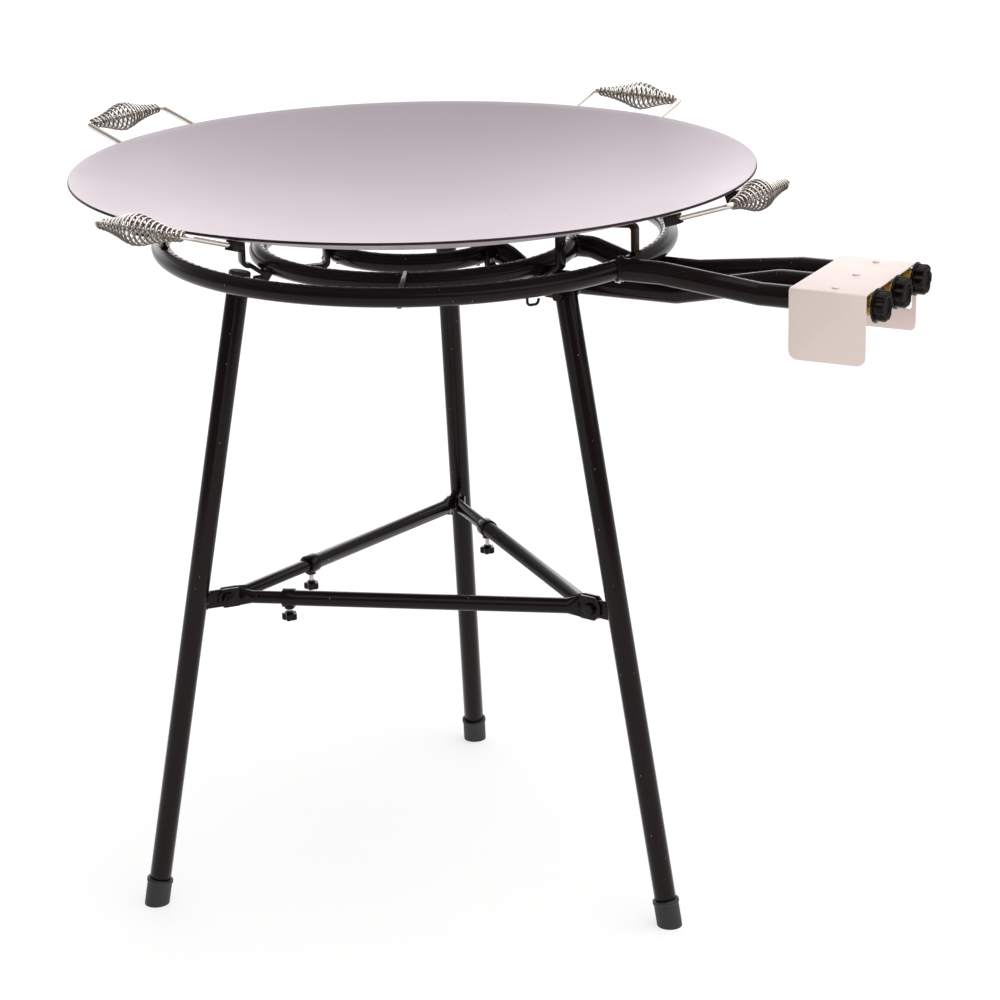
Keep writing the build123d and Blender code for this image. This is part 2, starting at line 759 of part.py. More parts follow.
# Each brace: azimuth of the leg with the outer tube, of the leg with the inner tube, bare length
BRACES = (
    (LEG_AZ[0], LEG_AZ[1], BRACE_BARE[0]),
    (LEG_AZ[2], LEG_AZ[1], BRACE_BARE[1]),
    (LEG_AZ[0], LEG_AZ[2], BRACE_BARE[2]),
)
for number, (az_out, az_in, bare) in enumerate(BRACES, 1):
    turn = 1 if math.sin(math.radians(az_in - az_out)) > 0 else -1
    side_out = around(az_out) * turn
    side_in = around(az_in) * -turn
    in_out = outward(az_out) * -1
    in_in = outward(az_in) * -1
    root_out = outward(az_out) * tab_bolt + upright * TAB_Z + side_out * spade_off
    root_in = outward(az_in) * tab_bolt + upright * TAB_Z + side_in * spade_off
    knee_out = root_out + in_out * spade_l
    knee_in = root_in + in_in * spade_l
    along = (knee_in - knee_out).normalized()
    span = (knee_in - knee_out).length
    tube_l = span - 2 * neck_l - bare
    tube_start = knee_out + along * neck_l
    tube_end = tube_start + along * tube_l
    clamp = tube_end - along * collar_l / 2

    with BuildPart() as brace_outer:
        spade(root_out, in_out, side_out, outer_spade_h, bolt_r + RUN, along, outer_r)
        disc(Plane(origin=tube_start, x_dir=upright, z_dir=along), outer_r, tube_l)
        disc(Plane(origin=tube_end, x_dir=upright, z_dir=along * -1), collar_r, collar_l)
        disc(Plane(origin=clamp, z_dir=upright * -1), 1.9 * clamp_r, boss_l)
        disc(Plane(origin=tube_end, x_dir=upright, z_dir=along * -1), slide_r, tube_l - 3,
             mode=Mode.SUBTRACT)
        disc(Plane(origin=clamp, z_dir=upright * -1), clamp_r + RUN, 2 * collar_r,
             mode=Mode.SUBTRACT)
    save(brace_outer, f"brace_outer_{number}")

    with BuildPart() as brace_inner:
        spade(root_in, in_in, side_in, inner_spade_h, bolt_r + OPEN_PLAY, along * -1, inner_r)
        start = knee_in - along * neck_l
        rod_l = bare + insert_l
        disc(Plane(origin=start, x_dir=upright, z_dir=along * -1), inner_r, rod_l)
        disc(Plane(origin=start - along * rod_l, x_dir=upright, z_dir=along), inner_r - BRACE_WALL,
             rod_l - 3, mode=Mode.SUBTRACT)
    save(brace_inner, f"brace_inner_{number}")

    with BuildPart() as brace_screw:
        tip = inner_r + SEAT
        disc(Plane(origin=clamp - upright * tip, z_dir=upright * -1), clamp_r, grip_z - tip + 1)
        with BuildSketch(Plane(origin=clamp - upright * grip_z, x_dir=along, z_dir=upright * -1)):
            RegularPolygon(radius=grip_r, side_count=8)
        extrude(amount=grip_h)
        chamfer(brace_screw.edges().group_by(Axis.Z)[0], 1.5)
    save(brace_screw, f"brace_screw_{number}")
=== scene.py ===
# %% [markdown]
# # A gas griddle on its tripod
# The object is a shallow steel dish with coil-grip handles. It rests on three burner rings
# that are fed by three valved pipes, and a folding tripod carries it all.
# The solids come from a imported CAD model. This lesson dresses each of them: it makes smooth
# pieces in the same place, and gives every surface the finish of its real material.

# %% Load the frame
import json
import math

import bmesh
import bpy
from mathutils import Matrix, Vector


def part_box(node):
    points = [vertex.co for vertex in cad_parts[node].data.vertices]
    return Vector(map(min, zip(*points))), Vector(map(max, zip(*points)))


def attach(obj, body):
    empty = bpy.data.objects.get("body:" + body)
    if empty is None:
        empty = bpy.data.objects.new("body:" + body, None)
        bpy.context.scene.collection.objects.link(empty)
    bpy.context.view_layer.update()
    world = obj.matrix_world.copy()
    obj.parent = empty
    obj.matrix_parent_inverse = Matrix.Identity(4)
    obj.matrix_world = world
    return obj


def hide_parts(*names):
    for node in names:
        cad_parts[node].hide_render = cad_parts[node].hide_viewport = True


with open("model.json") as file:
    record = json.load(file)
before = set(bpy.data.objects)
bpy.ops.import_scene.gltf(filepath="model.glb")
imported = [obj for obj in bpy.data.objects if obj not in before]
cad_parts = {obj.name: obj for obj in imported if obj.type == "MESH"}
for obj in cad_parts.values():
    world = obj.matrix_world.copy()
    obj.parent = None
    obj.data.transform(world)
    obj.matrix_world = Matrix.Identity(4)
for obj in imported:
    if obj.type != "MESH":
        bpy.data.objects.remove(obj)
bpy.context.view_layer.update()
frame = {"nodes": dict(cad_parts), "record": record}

scene = bpy.context.scene
MM = 0.001

# %% [markdown]
# ## Camera
# The photograph was taken with a long lens from the right and a little above the dish. The eye point and
# the angles were fitted to the feet, the rim and the cover, so the camera is set once.

# %% Camera at the photograph's viewing angle
EYE = Vector((1.5677, -2.8529, 1.5236))
LOOK_AZIMUTH = math.radians(27.2)
LOOK_DOWN = math.radians(18.28)
LOOK_ROLL = math.radians(-1.25)
LENS = 104.83

camera = bpy.data.objects.new("camera", bpy.data.cameras.new("camera"))
scene.collection.objects.link(camera)
camera.data.lens = LENS
camera.data.sensor_width = 36.0
camera.data.clip_end = 100.0
camera.matrix_world = (
    Matrix.Translation(EYE)
    @ Matrix.Rotation(LOOK_AZIMUTH, 4, "Z")
    @ Matrix.Rotation(math.radians(90.0) - LOOK_DOWN, 4, "X")
    @ Matrix.Rotation(LOOK_ROLL, 4, "Z")
)
scene.camera = camera
print("camera at", [round(v, 3) for v in EYE])

# %% [markdown]
# ## Finishes
# Every finish starts from what the real material is and how its surface was made.
# Colours are written as sRGB hex values and turned to linear in one place. One helper adds a
# node with its settings, values and links, and pattern sizes are given in millimetres.
# The finishes are kept by the name of the record's material slot.

# %% Helpers for finishes
FINISH = {}


def linear(hex_colour):
    """The linear colour of an sRGB hex value."""
    channels = [int(hex_colour[i:i + 2], 16) / 255 for i in (1, 3, 5)]
    return [c / 12.92 if c <= 0.04045 else ((c + 0.055) / 1.055) ** 2.4 for c in channels] + [1.0]


def per(millimetres):
    """Texture scale whose features are about that many millimetres apart."""
    return 1.0 / (millimetres * MM)


def result(node):
    """The first output that a node has in use."""
    return next(output for output in node.outputs if output.enabled)


def add_node(tree, kind, inputs, **settings):
    """A shader node with its settings, and for each input a value, or a socket or node to link."""
    node = tree.nodes.new("ShaderNode" + kind)
    for name, value in settings.items():
        setattr(node, name, value)
    for socket, value in inputs.items():
        if isinstance(value, bpy.types.Node):
            value = result(value)
        if isinstance(value, bpy.types.NodeSocket):
            tree.links.new(value, node.inputs[socket])
        else:
            node.inputs[socket].default_value = value
    return node


def start_finish(name, **sockets):
    """A new material with its shader's even values set, and its Object coordinates."""
    material = bpy.data.materials.new(name)
    material.use_nodes = True
    tree = material.node_tree
    shader = tree.nodes["Principled BSDF"]
    for socket, value in sockets.items():
        shader.inputs[socket.replace("_", " ")].default_value = value
    where = add_node(tree, "TexCoord", {}).outputs["Object"]
    return material, tree, shader, where


def join(tree, shader, **nodes):
    """Links nodes to the shader's sockets."""
    for socket, node in nodes.items():
        tree.links.new(result(node), shader.inputs[socket.replace("_", " ")])


print("mid grey is", round(linear("#808080")[0], 3), "in linear light")


# %% [markdown]
# ### Rolled carbon steel
# The dish is spun from rolled sheet. It has a satin grey with a lilac cast, faint clouds from
# rolling, and a few tiny dark pits. One even grey would look like plastic, so a slow noise
# drifts colour and roughness over a hand's width, and a cell pattern sets the pits. The
# rolling grain is finer than the picture can show, so it is drawn coarser.

# %% Rolled steel
def rolled_steel():
    material, tree, shader, where = start_finish("rolled_carbon_steel", Metallic=1.0)
    clouds = add_node(tree, "TexNoise", {"Vector": where, "Scale": per(140), "Detail": 5.0})
    grain = add_node(tree, "TexNoise", {"Vector": where, "Scale": per(2.5), "Detail": 3.0})
    pits = add_node(tree, "TexVoronoi", {"Vector": where, "Scale": per(55)})
    pit = add_node(tree, "MapRange", {
        "Value": pits, "From Min": 0.012, "From Max": 0.03, "To Min": 1.0, "To Max": 0.0})
    tone = add_node(tree, "Mix", {
        "Factor": clouds, "A": linear("#A89DA4"), "B": linear("#B1A6AD")}, data_type="RGBA")
    pitted = add_node(tree, "Mix", {"Factor": pit, "A": tone, "B": linear("#6A6468")}, data_type="RGBA")
    rough = add_node(tree, "MapRange", {"Value": clouds, "To Min": 0.4, "To Max": 0.5})
    bump = add_node(tree, "Bump", {"Height": grain, "Strength": 0.08, "Distance": 0.2 * MM})
    join(tree, shader, Base_Color=pitted, Roughness=rough, Normal=bump)
    return material


FINISH["griddle_steel"] = rolled_steel()
print("made", FINISH["griddle_steel"].name)


# %% [markdown]
# ### Black stove enamel
# Tubes and bars are dipped in black enamel. It is glossy with a slight orange peel and a
# brown cast from the stove heat, and kitchen dust shows on it as small pale specks. The peel
# only bends highlights, so it is bump, a little coarser than it is so that it shows, and the
# dust is mixed into the colour.

# %% Black enamel
def black_enamel():
    material, tree, shader, where = start_finish("black_stove_enamel", IOR=1.45, Specular_IOR_Level=0.19)
    peel = add_node(tree, "TexNoise", {"Vector": where, "Scale": per(4), "Detail": 2.0})
    smear = add_node(tree, "TexNoise", {"Vector": where, "Scale": per(60), "Detail": 4.0})
    seeds = add_node(tree, "TexVoronoi", {"Vector": where, "Scale": per(14)})
    dust = add_node(tree, "MapRange", {
        "Value": seeds, "From Min": 0.025, "From Max": 0.06, "To Min": 0.75, "To Max": 0.0})
    colour = add_node(tree, "Mix", {
        "Factor": dust, "A": linear("#170E0F"), "B": linear("#A9A29C")}, data_type="RGBA")
    rough = add_node(tree, "MapRange", {"Value": smear, "To Min": 0.13, "To Max": 0.26})
    bump = add_node(tree, "Bump", {"Height": peel, "Strength": 0.12, "Distance": 0.3 * MM})
    join(tree, shader, Base_Color=colour, Roughness=rough, Normal=bump)
    return material


FINISH["black_enamel"] = black_enamel()
print("made", FINISH["black_enamel"].name)


# %% [markdown]
# ### Chromed wire
# The handles and their coils are bright chromed rod. The way a surface faces mixes a dark brown tone into
# the bright one: this is painted shade on the underside, standing in for a dark reflection from below. On
# the coils the painted shade reaches further up.

# %% Chrome
def chrome_wire(name, shade_from, shade_to, hex_stain_and_shade):
    material, tree, shader, where = start_finish(name, Metallic=1.0)
    film = add_node(tree, "TexNoise", {"Vector": where, "Scale": per(18), "Detail": 3.0})
    bright = add_node(tree, "Mix", {
        "Factor": film, "A": linear("#F6F3F0"), "B": linear("#DCD0C4")}, data_type="RGBA")
    facing = add_node(tree, "TexCoord", {}).outputs["Normal"]
    height = add_node(tree, "SeparateXYZ", {"Vector": facing}).outputs["Z"]
    # Painted shade: the more a surface faces down, the more of the dark brown tone it gets
    under = add_node(tree, "MapRange", {
        "Value": height, "From Min": shade_from, "From Max": shade_to, "To Min": 0.0, "To Max": 0.9})
    colour = add_node(tree, "Mix", {"Factor": under, "A": bright, "B": linear(hex_stain_and_shade)}, data_type="RGBA")
    rough = add_node(tree, "MapRange", {"Value": film, "To Min": 0.07, "To Max": 0.2})
    join(tree, shader, Base_Color=colour, Roughness=rough)
    return material


# Painted shade: on the rod it starts just below the side, on the coil high up, so it covers most of the
# wire
FINISH["chrome"] = chrome_wire("chromed_steel_rod", shade_from=-0.1, shade_to=-0.8, hex_stain_and_shade="#6B5F57")
CHROME_COIL_PAINTED_SHADE = chrome_wire("chrome_coil_painted_shade", shade_from=0.6, shade_to=-0.15, hex_stain_and_shade="#3A2A1E")
print("made", FINISH["chrome"].name, "and", CHROME_COIL_PAINTED_SHADE.name)


# %% [markdown]
# ### Powder coat, rubber and zinc
# On the other materials a stain changes tone and roughness at once, so one helper drives both
# by one pattern. The valve cover is powder coated in a warm white that handling soils a little,
# and the feet are moulded rubber with a dull bloom. Both have a fine grain, which is bump.
# Bolts are zinc plated and gone dark beside the flame. Zinc grows in crystals, so its pattern
# is made of cells.

# %% Powder coat, rubber and zinc
def two_tone(name, hex_clean, hex_stained, smooth, rough, spot_mm, detail=4.0, pattern="TexNoise",
             grain=None, **sockets):
    """A finish whose tone and roughness follow one pattern, with a size, strength and depth of grain."""
    material, tree, shader, where = start_finish(name, **sockets)
    stain = add_node(tree, pattern, {"Vector": where, "Scale": per(spot_mm), "Detail": detail})
    colour = add_node(tree, "Mix", {
        "Factor": stain, "A": linear(hex_clean), "B": linear(hex_stained)}, data_type="RGBA")
    dullness = add_node(tree, "MapRange", {"Value": stain, "To Min": smooth, "To Max": rough})
    join(tree, shader, Base_Color=colour, Roughness=dullness)
    if grain:
        grain_mm, strength, depth_mm = grain
        grit = add_node(tree, "TexNoise", {"Vector": where, "Scale": per(grain_mm), "Detail": 2.0})
        bump = add_node(tree, "Bump", {"Height": grit, "Strength": strength, "Distance": depth_mm * MM})
        join(tree, shader, Normal=bump)
    return material


FINISH["white_paint"] = two_tone("white_powder_coat", "#F1E0DA", "#EAD8D1", smooth=0.4, rough=0.52,
                                 spot_mm=45, grain=(1.6, 0.1, 0.15), IOR=1.5)
FINISH["rubber"] = two_tone("moulded_rubber", "#131314", "#242425", smooth=0.45, rough=0.65,
                            spot_mm=20, detail=5.0, grain=(0.9, 0.15, 0.15), IOR=1.52)
FINISH["zinc"] = two_tone("zinc_plated_steel", "#2A2724", "#171513", smooth=0.28, rough=0.45,
                          spot_mm=3, detail=0.0, pattern="TexVoronoi", Metallic=1.0)
print("made", [FINISH[slot].name for slot in ("white_paint", "rubber", "zinc")])


# %% [markdown]
# ### Brass, bakelite and bare steel
# Valves and nuts are turned from brass, and knobs are pressed in black bakelite that wiping rubs dull in
# front. Some spots carry no enamel: the drilled edges of the gas ports, the soot inside them, weld metal,
# and the sheared rim of the dish. The dark inside of a port is also painted shade of the hole, and the
# rim's dark tone is partly painted shade.

# %% Brass, bakelite and bare steel
def bakelite(name, specular, smooth):
    return two_tone(name, "#070404", "#1A0D0B", smooth, smooth + 0.1, spot_mm=12, detail=3.0,
                    IOR=1.45, Specular_IOR_Level=specular)


def bare_steel(name, hex_clean, hex_stain_and_shade, smooth, spot_mm):
    return two_tone(name, hex_clean, hex_stain_and_shade, smooth, smooth + 0.2, spot_mm, Metallic=1.0)


FINISH["brass"] = two_tone("machined_brass", "#C9A85A", "#84652F", smooth=0.18, rough=0.36, spot_mm=9,
                           Metallic=1.0)
FINISH["black_gloss"] = bakelite("black_bakelite", specular=0.16, smooth=0.1)
RUBBED_FACE = bakelite("rubbed_bakelite", specular=0.03, smooth=0.45)
DRILLED = bare_steel("drilled_steel", "#A39B95", "#4A423C", smooth=0.3, spot_mm=6)
# Dark floor of a port: soot, and painted shade for the depth of a hole that isn't cut
PORT_SOOT_AND_SHADE = bare_steel("port_soot_and_painted_shade", "#060505", "#120D0A", smooth=0.7, spot_mm=3)
WELD_METAL = bare_steel("weld_metal", "#EDE6E0", "#6A5F58", smooth=0.25, spot_mm=4)
# The dish's cut edge is darker: partly mill scale, partly painted shade along the rim
RIM_EDGE_SCALE_AND_SHADE = bare_steel("rim_edge_scale_and_painted_shade", "#4A3B40", "#2E2226", smooth=0.4, spot_mm=40)
BURNT_BAR = bare_steel("heat_stained_bar", "#4A3524", "#17110D", smooth=0.3, spot_mm=30)
print(len(FINISH), "slots have their finish")

# %% [markdown]
# ## Making and placing pieces
# The record says which finish each solid has and which body carries it. A piece is built in a
# bmesh, given that finish, set to ride on that body, and put in the solid's place. Two short
# helpers do this, so the cells that follow are about shapes alone.

# %% Slots and bodies in the record
SLOT_OF = {part["node"]: part["material_slot"] for part in frame["record"]["subparts"]}
BODY_OF = {
    node: body
    for body, nodes in frame["record"]["behaviour"]["bodies"].items()
    for node in nodes
}


# %% Helpers for places and pieces
def outward(azimuth):
    """Level direction away from the middle, at an azimuth in degrees."""
    return Vector((math.cos(math.radians(azimuth)), math.sin(math.radians(azimuth)), 0.0))


def around(azimuth):
    """Level direction along the rim, at an azimuth in degrees."""
    return Vector((-math.sin(math.radians(azimuth)), math.cos(math.radians(azimuth)), 0.0))


def stand(origin, along, across):
    """Matrix whose local Z runs along one direction and local X nearest to another."""
    z = along.normalized()
    x = (across - z * across.dot(z)).normalized()
    return Matrix.Translation(origin) @ Matrix((x, z.cross(x), z)).transposed().to_4x4()


def add_piece(name, bm, body, finish, crisp=35.0):
    """Turns a bmesh into a finished object that rides on a body."""
    mesh = bpy.data.meshes.new(name)
    bm.to_mesh(mesh)
    bm.free()
    mesh.shade_smooth()
    mesh.set_sharp_from_angle(angle=math.radians(crisp))
    piece = bpy.data.objects.new(name, mesh)
    scene.collection.objects.link(piece)
    mesh.materials.append(finish)
    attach(piece, body)
    return piece


def make_piece(name, bm, nodes, crisp=35.0):
    """A finished object in place of its solids, on their body and in their finish."""
    slot = SLOT_OF[nodes[0]]
    piece = add_piece(name, bm, BODY_OF[nodes[0]], FINISH[slot], crisp)
    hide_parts(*nodes)
    return piece


print("azimuth 90 looks along", [round(v, 3) for v in outward(90.0)])

# %% [markdown]
# ### Spinning, rounding and copying
# Round pieces come from one spin about the upright axis. Where a solid already has the right
# shape, a copy of it is merged and its sharp edges are rounded, because a real edge always
# catches a little light. The solid itself is never changed.

# %% Helpers for meshes
SAME_PLACE = 0.001 * MM
FLAT_ANGLE = 0.6
COPY_CORNER = 32.0


def spun(bm, steps):
    """Spins all that a bmesh holds once round the upright axis, and closes the seam."""
    bmesh.ops.spin(bm, geom=bm.verts[:] + bm.edges[:], cent=(0, 0, 0), axis=(0, 0, 1),
                   angle=2 * math.pi, steps=steps, use_merge=True)
    bmesh.ops.remove_doubles(bm, verts=bm.verts, dist=SAME_PLACE)
    bmesh.ops.recalc_face_normals(bm, faces=bm.faces)


def sharp_edges(bm, corner):
    """Edges whose faces meet at more than an angle in degrees."""
    return [e for e in bm.edges if e.is_manifold and e.calc_face_angle() > math.radians(corner)]


def rounded(bm, geom, radius, segments, affect="EDGES", clamp_overlap=False):
    """Rounds edges, or corners if it affects vertices."""
    bmesh.ops.bevel(bm, geom=geom, offset=radius, offset_type="OFFSET", segments=segments, profile=0.5,
                    affect=affect, clamp_overlap=clamp_overlap, material=-1)


def copied(name, node, soften):
    """A piece like its solid, with triangles joined up and edges rounded by some millimetres."""
    bm = bmesh.new()
    bm.from_mesh(frame["nodes"][node].data)
    bmesh.ops.remove_doubles(bm, verts=bm.verts, dist=2 * SAME_PLACE)
    bmesh.ops.dissolve_limit(bm, angle_limit=math.radians(FLAT_ANGLE), verts=bm.verts, edges=bm.edges)
    rounded(bm, sharp_edges(bm, COPY_CORNER), soften * MM, segments=2, clamp_overlap=True)
    return make_piece(name, bm, [node])


print("one leg's solid has", len(frame["nodes"]["leg_1"].data.vertices), "corners before merging")


# %% [markdown]
# ### Bent rod and pipe
# Handles, feed pipes and the hook are straight rod with a few bends. A curve with a round
# bevel sweeps them in one go. At each corner two Bezier points are set, with handles of the
# length that fits a circle, so every bend has the true radius of the bending tool.

# %% Helpers for bent rod and pipe
def swept(curve):
    """Mesh of a curve that has a thickness; the curve itself isn't kept."""
    holder = bpy.data.objects.new(curve.name, curve)
    scene.collection.objects.link(holder)
    bpy.context.view_layer.update()
    mesh = bpy.data.meshes.new_from_object(holder.evaluated_get(bpy.context.evaluated_depsgraph_get()))
    bpy.data.objects.remove(holder)
    bpy.data.curves.remove(curve)
    return mesh


def thick_curve(name, radius, rounds):
    """An empty curve that will be swept to a rod of a radius."""
    curve = bpy.data.curves.new(name, "CURVE")
    curve.dimensions = "3D"
    curve.bevel_depth = radius
    curve.bevel_resolution = rounds
    curve.use_fill_caps = True
    return curve


def circle_handle(turn):
    """Length of a Bezier handle that fits an arc of radius 1 through an angle."""
    return math.tan(turn / 4) * 4 / 3


def bent(name, points, bend, radius, rounds=5):
    """Mesh of a rod along points, with a true arc of one bend radius at each corner."""
    curve = thick_curve(name, radius, rounds)
    curve.resolution_u = 14
    knots = [(points[0], points[0], points[0])]
    for before, corner, after in zip(points, points[1:], points[2:]):
        into = (corner - before).normalized()
        away = (after - corner).normalized()
        turn = into.angle(away)
        cut = bend * math.tan(turn / 2)
        reach = bend * circle_handle(turn)
        start = corner - into * cut
        end = corner + away * cut
        knots.append((start - into * reach, start, start + into * reach))
        knots.append((end - away * reach, end, end + away * reach))
    knots.append((points[-1], points[-1], points[-1]))
    spline = curve.splines.new("BEZIER")
    spline.bezier_points.add(len(knots) - 1)
    for point, (left, middle, right) in zip(spline.bezier_points, knots):
        point.handle_left_type = "FREE"
        point.handle_right_type = "FREE"
        point.co = middle
        point.handle_left = left
        point.handle_right = right
    return swept(curve)


def from_meshes(*meshes):
    """One bmesh of several meshes, which aren't kept."""
    bm = bmesh.new()
    for mesh in meshes:
        bm.from_mesh(mesh)
        bpy.data.meshes.remove(mesh)
    bmesh.ops.recalc_face_normals(bm, faces=bm.faces)
    return bm


print("a right-angle bend has handles of", round(circle_handle(math.pi / 2), 4), "times its radius")

# %% [markdown]
# ## Griddle dish
# The dish is a cap of a large sphere. A single vertex is spun into its meridian arc, the arc is spun round
# the upright axis, and solidify gives the sheet its thickness. The cut rim is rounded with a small bevel,
# because a sharp one would show no light, and it stays bare steel. Its edge faces are dark in tone: partly
# mill scale, partly painted shade.

# %% Griddle dish
GRIDDLE_D = 776 * MM
GRIDDLE_T = 3 * MM
RIM_ROUND = 0.7 * MM
CUT_CORNER = 60.0
SHEET_FACING = 0.95
dish_low, dish_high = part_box("griddle_plate")
dish_depth = dish_high.z - dish_low.z - GRIDDLE_T
dish_r = ((GRIDDLE_D / 2) ** 2 + dish_depth ** 2) / (2 * dish_depth)
dish_z = dish_high.z - dish_depth + dish_r
rim_angle = math.asin(GRIDDLE_D / 2 / dish_r)

bm = bmesh.new()
middle = bm.verts.new((0, 0, dish_z - dish_r))
bmesh.ops.spin(bm, geom=[middle], cent=(0, 0, dish_z), axis=(0, 1, 0), angle=-rim_angle, steps=36)
spun(bm, steps=192)
if sum(f.normal.z for f in bm.faces) < 0:
    bmesh.ops.reverse_faces(bm, faces=bm.faces)
bmesh.ops.solidify(bm, geom=bm.faces[:], thickness=GRIDDLE_T)
rounded(bm, sharp_edges(bm, CUT_CORNER), RIM_ROUND, segments=3)
# Edge faces get the dark rim finish, which is partly painted shade
for face in bm.faces:
    from_centre = (face.calc_center_median() - Vector((0, 0, dish_z))).normalized()
    face.material_index = int(abs(face.normal.dot(from_centre)) < SHEET_FACING)
griddle = make_piece("griddle_dish", bm, ["griddle_plate"])
griddle.data.materials.append(RIM_EDGE_SCALE_AND_SHADE)
print("dish radius", round(dish_r, 4), "rim angle", round(math.degrees(rim_angle), 2))

# %% [markdown]
# ## Handles
# Each handle is a rod bent twice at right angles, and its ends sit in square sockets welded
# under the rim. The sockets are plain bar, so copies of their solids are enough.

# %% Handle rods and sockets
HANDLE_AZIMUTHS = (-7.0, -99.5, 170.0, 79.0)
HANDLE_REACHES = (60 * MM, 61 * MM, 60 * MM, 52 * MM)
HANDLE_SPAN = 130 * MM
ROD_D = 6 * MM
ROD_BEND = 5.4 * MM
ROD_IN_SOCKET = 17 * MM
ROD_BELOW_RIM = 4.275 * MM


def rim_point(azimuth):
    """Centre of a handle under the rim, and the direction out along the dish."""
    out = outward(azimuth) * math.cos(rim_angle) + Vector((0, 0, math.sin(rim_angle)))
    down = outward(azimuth) * math.sin(rim_angle) - Vector((0, 0, math.cos(rim_angle)))
    return Vector((0, 0, dish_z)) + down * (dish_r + GRIDDLE_T + ROD_BELOW_RIM), out


for number, (azimuth, reach) in enumerate(zip(HANDLE_AZIMUTHS, HANDLE_REACHES), 1):
    centre, out = rim_point(azimuth)
    half = around(azimuth) * HANDLE_SPAN / 2
    route = [
        centre - half - out * ROD_IN_SOCKET,
        centre - half + out * reach,
        centre + half + out * reach,
        centre + half - out * ROD_IN_SOCKET,
    ]
    rod = bent("handle_rod", route, ROD_BEND, ROD_D / 2)
    make_piece(f"handle_rod_{number}", from_meshes(rod), [f"handle_bail_{number}"])
copied("rim_sockets", "handle_sockets", soften=0.8)
print(len(HANDLE_AZIMUTHS), "handles")

# %% [markdown]
# ## Coil grips
# The grips are spindle springs: the coil swells from the rod to its full width just before
# the middle and runs out into a thinner tail. A short table holds that outline, the turns are
# worked out by a loop and swept as one wire, with more turns than the plain solid has.

# %% Coil grips
COIL_TURNS = 19
COIL_WIRE_D = 2.5 * MM
COIL_MAX_R = 16.5 * MM
COIL_END_R = 4.5 * MM
COIL_LENGTH = 115.4 * MM
COIL_STEPS = 20
COIL_TAILS = (1, 1, -1, 1)
# Share of the coil's length, and share of its swelling there
COIL_PROFILE = (
    (0.0, 0.0), (0.13, 0.17), (0.25, 0.48), (0.37, 0.86), (0.45, 1.0), (0.54, 0.86), (0.62, 0.6),
    (0.74, 0.33), (0.86, 0.13), (1.0, 0.0),
)


def swell_at(share):
    """Share of the full swelling at a place along the coil."""
    for (start, low), (end, high) in zip(COIL_PROFILE, COIL_PROFILE[1:]):
        if share <= end:
            return low + (high - low) * (share - start) / (end - start)
    return 0.0


def coil_wire(azimuth, reach, tail):
    """Mesh of one spindle coil round a handle's crossbar."""
    centre, out = rim_point(azimuth)
    centre = centre + out * reach
    side = around(azimuth)
    up = side.cross(out)
    curve = thick_curve("coil", COIL_WIRE_D / 2, rounds=2)
    curve.resolution_u = 1
    spline = curve.splines.new("NURBS")
    count = COIL_TURNS * COIL_STEPS + 1
    spline.points.add(count - 1)
    for i, point in enumerate(spline.points):
        share = i / (count - 1)
        radius = COIL_END_R + (COIL_MAX_R - COIL_END_R) * swell_at(share)
        angle = 2 * math.pi * COIL_TURNS * share
        place = centre + side * tail * COIL_LENGTH * (share - 0.5)
        place = place + out * radius * math.cos(angle) + up * tail * radius * math.sin(angle)
        point.co = (*place, 1.0)
    spline.order_u = 4
    spline.use_endpoint_u = True
    return swept(curve)


coils = [coil_wire(*handle) for handle in zip(HANDLE_AZIMUTHS, HANDLE_REACHES, COIL_TAILS)]
grips = make_piece("coil_grips", from_meshes(*coils), ["spring_grips"], crisp=70)
# The coils take the chrome whose painted shade reaches higher
grips.data.materials[0] = CHROME_COIL_PAINTED_SHADE
print("coil faces", len(grips.data.polygons))

# %% [markdown]
# ## Burner rings
# Each ring is pipe rolled into a circle. A circle is stood on edge and spun round the axis,
# which gives even faces all the way. The inner two sit half a pipe lower than the outer one.

# %% Burner rings
RING_TUBE_D = 21.3 * MM
RING_STEPS_PER_MM = 0.7
ring_r = RING_TUBE_D / 2
ring_radius = {}
ring_height = {}

for node in ("outer_ring", "middle_ring", "inner_ring"):
    ring_low, ring_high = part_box(node)
    radius = ring_high.x - ring_r
    ring_radius[node] = radius
    ring_height[node] = (ring_low.z + ring_high.z) / 2
    bm = bmesh.new()
    middle = Matrix.Translation((radius, 0, ring_height[node]))
    upright = middle @ Matrix.Rotation(math.radians(90), 4, "X")
    bmesh.ops.create_circle(bm, segments=32, radius=ring_r, matrix=upright)
    spun(bm, steps=int(radius / MM * RING_STEPS_PER_MM))
    make_piece(f"{node}_pipe", bm, [node])
print("ring radii", {node: round(radius, 4) for node, radius in ring_radius.items()})

# %% [markdown]
# ## Gas ports
# Gas leaves each ring through two rows of small holes, drilled on the side towards the middle.
# Cutting hundreds of holes would make a heavy mesh, so each port is a little bright rim with a shallow dark
# floor, laid on the pipe. The floor's dark is soot together with painted shade for the depth of the hole.
# One is made for each row and spun round with copies.

# %% Gas ports
PORT_D = 2.4 * MM
PORT_RIM = 0.4 * MM
PORT_DEPTH = 0.12 * MM
PORT_SINK = 0.02 * MM
PORT_SPACING = 15 * MM
# Tilt of each row in degrees, and its lag in steps
PORT_ROWS = ((-12.0, 0.0), (-40.0, 0.5))

